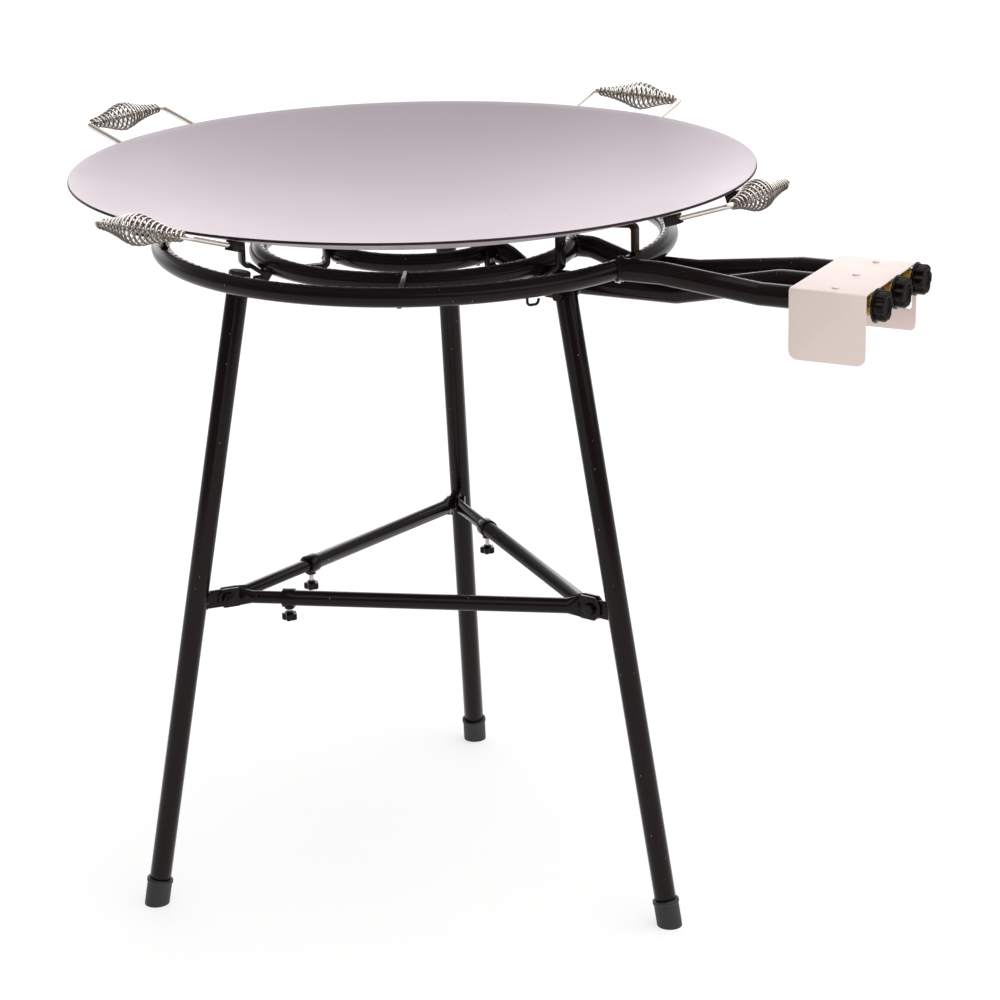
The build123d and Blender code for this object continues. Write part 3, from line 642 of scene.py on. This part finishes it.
for node, radius in ring_radius.items():
    bm = bmesh.new()
    count = round(2 * math.pi * radius / PORT_SPACING)
    step = 2 * math.pi / count
    for tilt, lag in PORT_ROWS:
        place = (
            Matrix.Rotation(lag * step, 4, "Z")
            @ Matrix.Translation((radius, 0, ring_height[node]))
            @ Matrix.Rotation(math.radians(tilt), 4, "Y")
            @ Matrix.Translation((0, 0, ring_r - PORT_SINK))
        )
        one = bmesh.ops.create_circle(bm, cap_ends=True, segments=10, radius=PORT_D / 2 + PORT_RIM,
                                      matrix=place)
        face = one["verts"][0].link_faces[0]
        bmesh.ops.inset_region(bm, faces=[face], thickness=PORT_RIM, depth=PORT_DEPTH)
        # The inset floor gets the dark port finish: soot with painted shade of the hole
        face.material_index = 1
        island = {f for v in face.verts for f in v.link_faces}
        bmesh.ops.spin(bm, geom=list(island), cent=(0, 0, 0), axis=(0, 0, 1),
                       angle=2 * math.pi - step, steps=count - 1, use_duplicate=True)
    bmesh.ops.recalc_face_normals(bm, faces=bm.faces)
    ports = add_piece(f"{node}_ports", bm, BODY_OF[node], DRILLED)
    ports.data.materials.append(PORT_SOOT_AND_SHADE)
    print(node, "has", len(PORT_ROWS) * count, "ports")

# %% [markdown]
# ## Feed pipes
# One pipe feeds each ring. The pipe of the outer ring leaves it straight, and the other two
# dip under the rings that they cross, then all three climb to the valves side by side.
# The same bent-rod helper makes them, with the bend of a pipe bender.

# %% Feed pipes
FEED_D = 25 * MM
FEED_PITCH = 62 * MM
PIPE_BEND = 32.5 * MM
PIPE_OFF_RING = 3 * MM
PIPE_BELOW_RING = 3 * MM
DIP_FROM = 0.23
DIP_TO = 0.35
CLIMB_FROM_RING = 25 * MM
CLIMB_TO_COVER = 40 * MM
OUTER_CLIMB_LATER = 10 * MM
feed_r = FEED_D / 2
cover_low, cover_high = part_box("valve_cover")
knob_low, knob_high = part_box("knob_2")
valve_z = (knob_low.z + knob_high.z) / 2
outer_z = ring_height["outer_ring"]
inner_z = ring_height["inner_ring"]
under_outer = outer_z - ring_r - feed_r - PIPE_BELOW_RING
under_middle = inner_z - ring_r - feed_r - PIPE_BELOW_RING
climb_x0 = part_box("outer_ring")[1].x + CLIMB_FROM_RING
climb_x1 = cover_low.x - CLIMB_TO_COVER
pipe_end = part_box("outer_feed_pipe")[1].x


def dip(start_x, cross_x, low):
    """Points from an inner ring down to the run that passes under the next ring."""
    gap = cross_x - start_x
    return [(start_x + PIPE_OFF_RING, inner_z), (start_x + DIP_FROM * gap, inner_z),
            (cross_x - DIP_TO * gap, low), (climb_x0, low), (climb_x1, valve_z), (pipe_end, valve_z)]


def on_ring(ring, y):
    """How far along X a ring's middle line is, at a distance to the side."""
    return math.sqrt(ring_radius[ring] ** 2 - y ** 2)


FEEDS = {
    "outer_feed_pipe": ("outer_ring", -FEED_PITCH),
    "inner_feed_pipe": ("inner_ring", 0.0),
    "middle_feed_pipe": ("middle_ring", FEED_PITCH),
}
routes = {
    "outer_feed_pipe": [(on_ring("outer_ring", -FEED_PITCH) + PIPE_OFF_RING, outer_z),
                        (climb_x0 + OUTER_CLIMB_LATER, outer_z), (climb_x1, valve_z), (pipe_end, valve_z)],
    "inner_feed_pipe": dip(ring_radius["inner_ring"], ring_radius["middle_ring"], under_middle),
    "middle_feed_pipe": dip(on_ring("middle_ring", FEED_PITCH), on_ring("outer_ring", FEED_PITCH),
                            under_outer),
}
for node, (ring, y) in FEEDS.items():
    pipe = bent(node, [Vector((x, y, z)) for x, z in routes[node]], PIPE_BEND, feed_r, rounds=8)
    make_piece(f"{node}_bent", from_meshes(pipe), [node])
print("feed pipes at height", round(valve_z, 4))

# %% [markdown]
# ## Weld beads
# Pipes and bars are joined by weld, and a bead with fine ripples shows at every seam. A bump
# pattern would stay flat from the side, so a curve takes the seam's path, and its radius rises
# and falls along it, as puddles of weld metal do.

# %% Helpers for weld beads
RIPPLE = 0.22
SWELL = 0.12
# Radians from point to point
RIPPLE_TURN = 2.1
SWELL_TURN = 0.7


def bead(points, thickness, closed=False):
    """Mesh of a rippled bead along points."""
    curve = thick_curve("bead", thickness / 2, rounds=2)
    curve.resolution_u = 3
    spline = curve.splines.new("NURBS")
    spline.points.add(len(points) - 1)
    for i, (point, place) in enumerate(zip(spline.points, points)):
        point.co = (*place, 1.0)
        point.radius = 1.0 + RIPPLE * math.sin(RIPPLE_TURN * i) + SWELL * math.sin(SWELL_TURN * i + 1.0)
    spline.order_u = 3
    spline.use_cyclic_u = closed
    spline.use_endpoint_u = not closed
    return swept(curve)


def seam(start, end, spacing=1.6 * MM):
    """Points of a straight seam."""
    count = max(3, round((end - start).length / spacing))
    return [start.lerp(end, i / count) for i in range(count + 1)]


def bar_bead(middle, half, thickness):
    """Mesh of a straight bead, from its middle half its length both ways."""
    return bead(seam(middle - half, middle + half), thickness)


def add_beads(name, beads, body, finish):
    """One piece of several beads, which go with the enamelled steel that they join."""
    return add_piece(name, from_meshes(*beads), body, finish, crisp=80)


print("a seam of 20 mm has", len(seam(Vector(), outward(0.0) * 20 * MM)), "points")

# %% [markdown]
# ### Where the pipes meet the rings
# Round a pipe the bead follows the saddle where two tubes meet, worked out from both radii.
# The last pass on each pipe stayed bare and bright: under the outer ring's pipe and on top of
# the other two. It lies over a few points of the same saddle, a little thicker.

# %% Beads where the pipes meet the rings
PIPE_BEAD_D = 4.6 * MM
BARE_BEAD_D = 5.6 * MM
BARE_POINTS = 11
LEAST_REACH = 3 * MM


def saddle(ring, y, steps=44):
    """Seam of a pipe along X that ends on a ring."""
    points = []
    for i in range(steps):
        angle = 2 * math.pi * i / steps
        rise = feed_r * math.sin(angle)
        across = y + feed_r * math.cos(angle)
        reach = math.sqrt(max(ring_r ** 2 - rise ** 2, LEAST_REACH ** 2))
        x = math.sqrt((ring_radius[ring] + reach) ** 2 - across ** 2)
        points.append(Vector((x, across, ring_height[ring] + rise)))
    return points


saddles = [bead(saddle(ring, y), PIPE_BEAD_D, closed=True) for ring, y in FEEDS.values()]
add_beads("pipe_welds", saddles, "burner", FINISH["black_enamel"])
drops = []
for ring, y in FEEDS.values():
    by_height = sorted(saddle(ring, y), key=lambda point: point.z, reverse=ring != "outer_ring")
    drops.append(bead(sorted(by_height[:BARE_POINTS], key=lambda point: point.y), BARE_BEAD_D))
add_beads("weld_drops", drops, "burner", WELD_METAL)
print(len(saddles), "pipe seams")

# %% [markdown]
# ## Flat bars and hook
# Spokes, ties, pan brackets and leg lugs are cut from flat bar and bent cold. The solids
# have the right shape, so copies do. The hook is a short end of wire, so it is bent anew.

# %% Bars and hook
BAR_SOFTEN = 0.7
HOOK_AZIMUTH = -36.5
HOOK_WIRE_D = 3 * MM
HOOK_BEND = 4 * MM
# Along the ring and up from its underside, in millimetres
HOOK_LINE = ((-5, 1), (-5, -8), (7, -8), (9, -2))
for node in ("ring_spokes", "ring_ties", "leg_lugs"):
    copied(f"{node}_bar", node, BAR_SOFTEN)
brackets = copied("pan_brackets_bar", "pan_brackets", BAR_SOFTEN)
brackets.data.materials[0] = BURNT_BAR

hook_top = outer_z - ring_r
hook_out = outward(HOOK_AZIMUTH)
hook_side = around(HOOK_AZIMUTH)
hook_points = [
    hook_out * ring_radius["outer_ring"] + hook_side * s * MM + Vector((0, 0, hook_top + z * MM))
    for s, z in HOOK_LINE
]
hook = bent("hook", hook_points, HOOK_BEND, HOOK_WIRE_D / 2)
make_piece("hook_of_wire", from_meshes(hook), ["ring_hook"])
print("hook at height", round(hook_top, 4))

# %% [markdown]
# ### Beads on the bars
# Every bar has a bead along both of its edges: where a spoke passes under a ring, where a tie
# ends on one, and where a pan bracket stands on the outer ring. A bright tack stays on the
# short post beside the inner ring.

# %% Beads on the bars
BAR_W = 14 * MM
BAR_T = 5 * MM
LEG_AZIMUTHS = (-11.0, -131.0, 109.0)
BRACKET_AZIMUTHS = (-5.5, -137.0, 102.0)
TIE_AZIMUTHS = (-65.0, 65.0, 155.0)
BAR_BEAD_D = 3 * MM
SPOKE_SEAM = 8 * MM
SPOKE_BEAD_RISE = 0.5 * MM
# Shares of the bar's width up from its middle
TIE_SEAM_STEPS = (-0.4, -0.2, 0.0, 0.2, 0.4)
HIGHEST_ON_RING = 0.95 * ring_r
BRACKET_BEAD_D = 3.2 * MM
BRACKET_SEAM = 0.84 * BAR_W
BRACKET_BEAD_OUT = 2.6 * MM

seams = []
for ring in ("inner_ring", "middle_ring"):
    for azimuth in LEG_AZIMUTHS:
        for edge in (-1, 1):
            middle = outward(azimuth) * ring_radius[ring] + around(azimuth) * edge * BAR_W / 2
            middle.z = inner_z - ring_r + SPOKE_BEAD_RISE
            half = outward(azimuth) * SPOKE_SEAM / 2
            seams.append(bar_bead(middle, half, BAR_BEAD_D))
for azimuth in TIE_AZIMUTHS:
    for ring, facing in (("middle_ring", 1), ("outer_ring", -1)):
        for edge in (-1, 1):
            points = []
            for rise in TIE_SEAM_STEPS:
                z = (outer_z + inner_z) / 2 + rise * BAR_W
                reach = math.sqrt(ring_r ** 2 - min(abs(z - ring_height[ring]), HIGHEST_ON_RING) ** 2)
                point = outward(azimuth) * (ring_radius[ring] + facing * reach)
                points.append(point + around(azimuth) * edge * BAR_T / 2 + Vector((0, 0, z)))
            seams.append(bead(points, BAR_BEAD_D))
for azimuth in BRACKET_AZIMUTHS:
    for side in (-1, 1):
        middle = outward(azimuth) * (ring_radius["outer_ring"] + side * BRACKET_BEAD_OUT)
        middle.z = outer_z + ring_r
        half = around(azimuth) * BRACKET_SEAM / 2
        seams.append(bar_bead(middle, half, BRACKET_BEAD_D))
add_beads("bar_welds", seams, "burner", FINISH["black_enamel"])
print(len(seams), "bar seams")

# %% Tacks on the posts
TACK_LENGTH = 7 * MM
TACK_D = 5 * MM
TACK_BELOW_RING = 5 * MM
post_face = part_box("inner_ring")[1].x + BAR_T
tacks = []
for azimuth in LEG_AZIMUTHS:
    middle = outward(azimuth) * post_face + Vector((0, 0, inner_z - TACK_BELOW_RING))
    half = around(azimuth) * TACK_LENGTH / 2
    tacks.append(bar_bead(middle, half, TACK_D))
add_beads("post_tacks", tacks, "burner", WELD_METAL)
print(len(tacks), "tacks")

# %% [markdown]
# ## Valve cover
# The cover is one sheet folded twice. Its outline is drawn as a chain, pulled into a sheet,
# and the folds are bevelled to the press brake's radius. Then a window is cut in the far flap
# for the inlet, the free corners are rounded, and solidify adds the thickness inwards.
# A box would be quicker, but it couldn't show the sheet's thin edge.

# %% Fold the cover
FOLD_R = 3.5 * MM
sheet = bmesh.new()
chain = [(cover_low.y, cover_low.z), (cover_low.y, cover_high.z), (cover_high.y, cover_high.z),
         (cover_high.y, cover_low.z)]
corners = [sheet.verts.new((cover_low.x, y, z)) for y, z in chain]
outline = [sheet.edges.new(pair) for pair in zip(corners, corners[1:])]
pulled = bmesh.ops.extrude_edge_only(sheet, edges=outline)["geom"]
bmesh.ops.translate(sheet, vec=(cover_high.x - cover_low.x, 0, 0),
                    verts=[v for v in pulled if isinstance(v, bmesh.types.BMVert)])
rounded(sheet, [e for e in sheet.edges if e.is_manifold], FOLD_R, segments=6)
print("cover", [round(v, 4) for v in cover_high - cover_low])

# %% Cut the window
WINDOW_BEHIND_BAR = 25 * MM
WINDOW_FROM_FRONT = 5 * MM
WINDOW_ABOVE_EDGE = 24 * MM
WINDOW_ABOVE_VALVE = 10 * MM
WINDOW_CORNER_R = 3 * MM
manifold_low, manifold_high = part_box("gas_manifold")
window_x = ((manifold_low.x + manifold_high.x) / 2 - WINDOW_BEHIND_BAR, cover_high.x - WINDOW_FROM_FRONT)
window_z = (cover_low.z + WINDOW_ABOVE_EDGE, valve_z + WINDOW_ABOVE_VALVE)


def far_flap():
    """Faces of the flap on the far side, and all that they are made of."""
    faces = [f for f in sheet.faces if all(abs(v.co.y - cover_high.y) < SAME_PLACE for v in f.verts)]
    edges = list({e for f in faces for e in f.edges})
    return faces, faces + edges + list({v for f in faces for v in f.verts})


for place, normal in (((window_x[0], 0, 0), (1, 0, 0)), ((window_x[1], 0, 0), (1, 0, 0)),
                      ((0, 0, window_z[0]), (0, 0, 1)), ((0, 0, window_z[1]), (0, 0, 1))):
    bmesh.ops.bisect_plane(sheet, geom=far_flap()[1], dist=SAME_PLACE, plane_co=place, plane_no=normal)
window = [f for f in far_flap()[0]
          if window_x[0] < f.calc_center_median().x < window_x[1]
          and window_z[0] < f.calc_center_median().z < window_z[1]]
window_corners = list({v for f in window for v in f.verts})
bmesh.ops.delete(sheet, geom=window, context="FACES")
window_corners = [v for v in window_corners if v.is_valid]
rounded(sheet, window_corners, WINDOW_CORNER_R, segments=4, affect="VERTICES")
print("window", round(window_x[1] - window_x[0], 4), "by", round(window_z[1] - window_z[0], 4))

# %% Give the cover its corners and thickness
COVER_T = 1.5 * MM
FLAP_CORNER_R = 10 * MM
SHEET_ROUND = 0.4 * MM
flap_corners = [v for v in sheet.verts if v.co.z < cover_low.z + SAME_PLACE
                and min(abs(v.co.x - cover_low.x), abs(v.co.x - cover_high.x)) < SAME_PLACE]
rounded(sheet, flap_corners, FLAP_CORNER_R, segments=8, affect="VERTICES")
bmesh.ops.recalc_face_normals(sheet, faces=sheet.faces)
top = max(sheet.faces, key=lambda f: f.calc_center_median().z)
if top.normal.z < 0:
    bmesh.ops.reverse_faces(sheet, faces=sheet.faces)
bmesh.ops.solidify(sheet, geom=sheet.faces[:], thickness=COVER_T)
rounded(sheet, sharp_edges(sheet, CUT_CORNER), SHEET_ROUND, segments=2)
cover = make_piece("folded_cover", sheet, ["valve_cover"])
copied("cover_screw_heads", "cover_screws", soften=0.4)
print("cover faces", len(cover.data.polygons))

# %% [markdown]
# ## Valves
# Behind the knobs a brass bar carries the gas to three valves. Little of it shows under the
# cover, so copies of the solids do, with the edges broken as a lathe tool leaves them.

# %% Valve bar, nuts and jets
for node in ("gas_manifold", "gas_jets", "gland_nuts", "valve_stem_1", "valve_stem_2", "valve_stem_3"):
    copied(f"{node}_turned", node, soften=0.6)
copied("air_mixer_sleeves", "air_mixers", soften=0.4)
print("valves at", round(manifold_high.x, 4))


# %% [markdown]
# ## Lobed grips
# Knobs and clamp screws are grips with lobes for the fingers. Cutting flutes with booleans
# leaves rough edges, so a grip is pulled from a circle: its face is extruded and scaled step
# by step, its outline is drawn in once between the lobes, and more steps make the crown.

# %% Helpers for lobed grips
def pushed(bm, face, rise, radius):
    """The face after it is pulled along Z and scaled about it to a radius."""
    grown = bmesh.ops.extrude_face_region(bm, geom=[face], use_keep_orig=True)["geom"]
    fresh = next(g for g in grown if isinstance(g, bmesh.types.BMFace))
    size = radius / max(v.co.xy.length for v in fresh.verts)
    bmesh.ops.translate(bm, vec=(0, 0, rise), verts=fresh.verts[:])
    bmesh.ops.scale(bm, vec=(size, size, 1), verts=fresh.verts[:])
    return fresh


def lobed_grip(sides, first_r, steps, outline, crown):
    """A grip along Z, pulled in steps of rise and radius, lobed by its outline and crowned."""
    bm = bmesh.new()
    bmesh.ops.create_circle(bm, cap_ends=True, segments=sides, radius=first_r)
    faces = [bm.faces[:][0]]
    for rise, radius in steps:
        faces.append(pushed(bm, faces[-1], rise, radius))
    for v in faces[-1].verts:
        v.co.xy *= outline(math.atan2(v.co.y, v.co.x)) / v.co.xy.length
    for rise, radius in crown:
        faces.append(pushed(bm, faces[-1], rise, radius))
    bmesh.ops.delete(bm, geom=faces[1:-1], context="FACES_ONLY")
    bmesh.ops.recalc_face_normals(bm, faces=bm.faces)
    return bm


print("grips are pulled in steps of rise and radius")

# %% [markdown]
# ### Knobs
# A knob has a round skirt and a grip with six flutes. The lobes keep their gloss, and the
# front, which is dished a little, is rubbed dull by wiping.

# %% Knobs
KNOB_R = 16.5 * MM
KNOB_LENGTH = 13.5 * MM
KNOB_SIDES = 96
SKIRT_R = 18.5 * MM
SKIRT_T = 2.5 * MM
SKIRT_ROUND = 0.5 * MM
FLUTES = 6
FLUTE_DEPTH = 2.6 * MM
FLUTE_TURN = math.radians(30)
FLUTE_SHARPNESS = 1.3
FRONT_FACING = 0.9
CROWN_H = 1.6 * MM
# Rise of each step, and the radius that it ends with
SKIRT = (
    (SKIRT_ROUND, SKIRT_R), (SKIRT_T - 2 * SKIRT_ROUND, SKIRT_R),
    (SKIRT_ROUND, SKIRT_R - SKIRT_ROUND), (0.0, KNOB_R),
)
CROWN = (
    (KNOB_LENGTH - SKIRT_T - CROWN_H, KNOB_R), (0.9 * MM, KNOB_R - 0.4 * MM), (0.7 * MM, KNOB_R - 1.3 * MM),
    (0.0, KNOB_R - 5.5 * MM), (-0.4 * MM, KNOB_R - 6.0 * MM), (-1.0 * MM, KNOB_R - 6.3 * MM),
)


def fluted(angle):
    """Radius of the knob's outline, drawn in at each flute."""
    flute = max(0.0, math.cos(FLUTES * (angle - FLUTE_TURN))) ** FLUTE_SHARPNESS
    return KNOB_R - FLUTE_DEPTH * flute


for number, y in enumerate((-FEED_PITCH, 0.0, FEED_PITCH), 1):
    bm = lobed_grip(KNOB_SIDES, SKIRT_R - SKIRT_ROUND, SKIRT, fluted, CROWN)
    for face in bm.faces:
        in_front = face.calc_center_median().z > KNOB_LENGTH / 2
        face.material_index = int(in_front and face.normal.z > FRONT_FACING)
    back = Vector((knob_low.x, y, valve_z))
    bmesh.ops.transform(bm, matrix=stand(back, Vector((1, 0, 0)), Vector((0, 1, 0))), verts=bm.verts)
    knob = make_piece(f"grip_knob_{number}", bm, [f"knob_{number}"], crisp=50)
    knob.data.materials.append(RUBBED_FACE)
print("knobs", round(knob_high.x - knob_low.x, 4), "long")

# %% [markdown]
# ## Legs and feet
# The legs are plain tube with a slot at the head for the lug, and copies of the solids show
# that well. The feet are rubber caps with a rolled lip. A cap is turned about the leg, then
# cut flat where it stands on the floor, as a worn cap is.

# %% Legs, bolts and foot caps
LEG_LEAN = math.radians(10.6)
LEG_D = 25 * MM
PIVOT_BELOW_RING = 38 * MM
PIVOT_R = 213.5 * MM
CAP_D = 29 * MM
CAP_H = 32 * MM
CAP_BORE = 18 * MM
CAP_PLAY = 0.1 * MM
CAP_BELOW_FLOOR = 8 * MM
CAP_TAPER = 0.4 * MM
CAP_TAPER_H = 3 * MM
# Out from the cap's wall and up from its top, in millimetres
CAP_LIP = ((0.0, -5.6), (0.5, -5.1), (0.9, -4.2), (0.9, -1.2), (0.4, -0.3), (-0.4, 0.0))
pivot_z = outer_z - PIVOT_BELOW_RING
foot_r = PIVOT_R + pivot_z * math.tan(LEG_LEAN)
cap_r = CAP_D / 2
bore_r = LEG_D / 2 + CAP_PLAY
cap_outline = (
    [(0.0, -CAP_BELOW_FLOOR), (cap_r - CAP_TAPER, -CAP_BELOW_FLOOR), (cap_r, CAP_TAPER_H)]
    + [(cap_r + out * MM, CAP_H + rise * MM) for out, rise in CAP_LIP]
    + [(bore_r, CAP_H), (bore_r, CAP_H - CAP_BORE), (0.0, CAP_H - CAP_BORE)]
)


def foot_cap(azimuth):
    """A rubber cap on the end of the leg at an azimuth, cut flat at the floor."""
    bm = bmesh.new()
    corners = [bm.verts.new((radius, 0.0, height)) for radius, height in cap_outline]
    for pair in zip(corners, corners[1:]):
        bm.edges.new(pair)
    spun(bm, steps=56)
    up = Vector((0, 0, math.cos(LEG_LEAN))) - outward(azimuth) * math.sin(LEG_LEAN)
    bmesh.ops.transform(bm, matrix=stand(outward(azimuth) * foot_r, up, around(azimuth)), verts=bm.verts)
    bmesh.ops.bisect_plane(bm, geom=bm.verts[:] + bm.edges[:] + bm.faces[:], dist=SAME_PLACE / 10,
                           plane_co=(0, 0, 0), plane_no=(0, 0, -1), clear_outer=True)
    bmesh.ops.holes_fill(bm, edges=[e for e in bm.edges if e.is_boundary], sides=0)
    bmesh.ops.recalc_face_normals(bm, faces=bm.faces)
    return bm


for number, azimuth in enumerate(LEG_AZIMUTHS, 1):
    make_piece(f"rubber_foot_{number}", foot_cap(azimuth), [f"foot_cap_{number}"])
    copied(f"leg_tube_{number}", f"leg_{number}", soften=0.3)
    copied(f"head_plug_{number}", f"leg_plug_{number}", soften=0.6)
for node in ("leg_bolts", "leg_nuts"):
    copied(f"{node}_steel", node, soften=0.7)
print("feet at radius", round(foot_r, 4))

# %% [markdown]
# ## Clamp screws
# A clamp screw hangs below the collar of each brace, with a bare stem, a hub and a grip of
# five lobes. It is pulled from a circle in steps, as the knobs are, from the stem's tip
# downwards. Two of the screws are backed out a little.

# %% Clamp screw
STEM_R = 2.6 * MM
STEM_LENGTH = 8.3 * MM
BACKED_OUT = (0.0, 5 * MM, 6 * MM)
SCREW_SIDES = 60
HUB_R = 4.2 * MM
HUB_H = 2.4 * MM
HUB_FLARE = 0.5 * MM
SHOULDER_H = 0.4 * MM
LOBES = 5
LOBE_R = 9.2 * MM
LOBE_DEPTH = 2.4 * MM
LOBED_CROWN = (
    (6.0 * MM, LOBE_R), (1.0 * MM, LOBE_R - 0.5 * MM), (0.6 * MM, LOBE_R - 1.6 * MM),
    (0.0, LOBE_R - 5.0 * MM),
)


def lobed(angle):
    """Radius of the grip's outline, a wave between lobe and dip."""
    return LOBE_R - LOBE_DEPTH * (0.5 - 0.5 * math.cos(LOBES * angle))


def clamp_screw(node, backed_out):
    """A bare stem from the collar downwards, its hub and its lobed grip."""
    screw_low, screw_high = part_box(node)
    tip = Vector(((screw_low.x + screw_high.x) / 2, (screw_low.y + screw_high.y) / 2, screw_high.z))
    stem = STEM_LENGTH + backed_out
    steps = ((stem, STEM_R), (0.0, HUB_R), (HUB_H, HUB_R + HUB_FLARE), (SHOULDER_H, LOBE_R))
    bm = lobed_grip(SCREW_SIDES, STEM_R, steps, lobed, LOBED_CROWN)
    for face in bm.faces:
        face.material_index = int(face.calc_center_median().z < stem - SAME_PLACE)
    bmesh.ops.transform(bm, matrix=stand(tip, Vector((0, 0, -1)), Vector((1, 0, 0))), verts=bm.verts)
    return bm


print("clamp screws with", LOBES, "lobes, backed out by", BACKED_OUT)

# %% [markdown]
# ## Braces
# The braces are telescoping tube with ends pressed flat. The solids hold the press-formed
# necks, so copies of them do. Each tab gets its bead on the leg.

# %% Braces, tabs and their bolts
TAB_Z = 368 * MM
TAB_H = 21 * MM
TAB_T = 4 * MM
SOFTENED = {"brace_outer": 0.7, "brace_inner": 0.7, "brace_tab": 0.6, "tab_bolt": 0.6}


def tab_seam(azimuth, side):
    """Mesh of the bead along one edge of the tab on a leg."""
    ends = []
    for z in (TAB_Z - TAB_H / 2, TAB_Z + TAB_H / 2):
        root = PIVOT_R + (pivot_z - z) * math.tan(LEG_LEAN) - LEG_D / 2 / math.cos(LEG_LEAN)
        ends.append(outward(azimuth) * root + around(azimuth) * side * TAB_T / 2 + Vector((0, 0, z)))
    return bead(seam(*ends), BAR_BEAD_D)


for number, azimuth in enumerate(LEG_AZIMUTHS, 1):
    for kind, soften in SOFTENED.items():
        node = f"{kind}_{number}"
        copied(f"{node}_formed", node, soften)
    screw = f"brace_screw_{number}"
    formed = make_piece(f"{screw}_formed", clamp_screw(screw, BACKED_OUT[number - 1]), [screw])
    formed.data.materials.append(WELD_METAL)
    tab_seams = [tab_seam(azimuth, side) for side in (-1, 1)]
    add_beads(f"tab_weld_{number}", tab_seams, f"leg_{number}", FINISH["black_enamel"])
print("braces at height", TAB_Z)

# %% [markdown]
# ## Stage and light
# The photograph has a white ground, light from above and a bright wall behind. A wide pale
# floor stands under the object. It glows a little, so that it stays white to the edge of the
# picture, where the lamp alone would leave it grey.

# %% Floor
FLOOR_R = 60.0
FLOOR_GLOW = 0.64
floor_mesh = bpy.data.meshes.new("floor")
bm = bmesh.new()
bmesh.ops.create_circle(bm, cap_ends=True, segments=96, radius=FLOOR_R)
bm.to_mesh(floor_mesh)
bm.free()
floor = bpy.data.objects.new("floor", floor_mesh)
scene.collection.objects.link(floor)
floor_mesh.materials.append(start_finish(
    "pale_floor", Roughness=0.9, Base_Color=linear("#B0AFAE"), Specular_IOR_Level=0.0,
    Emission_Color=linear("#FFFFFF"), Emission_Strength=FLOOR_GLOW)[0])
print("floor", 2 * FLOOR_R, "m across")

# %% [markdown]
# ### Sky
# Metal mirrors what stands around it more than it shows its own colour. The sky is a ramp
# from the dark side of the room to the bright wall behind the object, which lays the paler
# near half on the dish. It is worked out from the direction of the view, without a picture.

# %% Sky
WALL_SIDE = (-0.588, 0.809, 0.0)
# Place between the dark side and the wall, and the brightness there
SKY_STOPS = ((0.0, 0.08), (0.2, 0.085), (0.5, 0.13), (0.8, 0.19), (0.93, 0.66), (1.0, 1.2))
SKY_STRENGTH = 2.4
world = bpy.data.worlds.new("studio")
scene.world = world
world.use_nodes = True
sky = world.node_tree
ray = add_node(sky, "TexCoord", {}).outputs["Generated"]
behind = add_node(sky, "VectorMath", {0: ray, 1: WALL_SIDE}, operation="DOT_PRODUCT")
share = add_node(sky, "MapRange", {"Value": behind, "From Min": -1.0, "From Max": 1.0})
fall = add_node(sky, "ValToRGB", {"Fac": share})
for position, _ in SKY_STOPS[1:-1]:
    fall.color_ramp.elements.new(position)
for stop, (_, brightness) in zip(fall.color_ramp.elements, SKY_STOPS):
    stop.color = (brightness, brightness, brightness, 1.0)
sky.nodes["Background"].inputs["Strength"].default_value = SKY_STRENGTH
sky.links.new(result(fall), sky.nodes["Background"].inputs["Color"])
print("sky in", len(SKY_STOPS), "steps")

# %% [markdown]
# ### Soft light from above
# The photograph has hardly any shadow on its ground. One sun with a very wide angle throws
# soft shadows only, and it stands a little to the side of the knobs.

# %% Soft light from above
SUN_ENERGY = 2.3
SUN_WIDTH = math.radians(95)
SUN_FROM = Vector((1.3, 0.05, 3.0))
SUN_AT = Vector((0.0, 0.0, 0.8))
overhead = bpy.data.lights.new("overhead", "SUN")
overhead.energy = SUN_ENERGY
overhead.angle = SUN_WIDTH
lamp = bpy.data.objects.new("overhead", overhead)
scene.collection.objects.link(lamp)
lamp.location = SUN_FROM
lamp.rotation_euler = (SUN_AT - SUN_FROM).to_track_quat("-Z", "Y").to_euler()
scene.view_settings.view_transform = "Standard"
print("light from", [round(v, 2) for v in SUN_FROM])
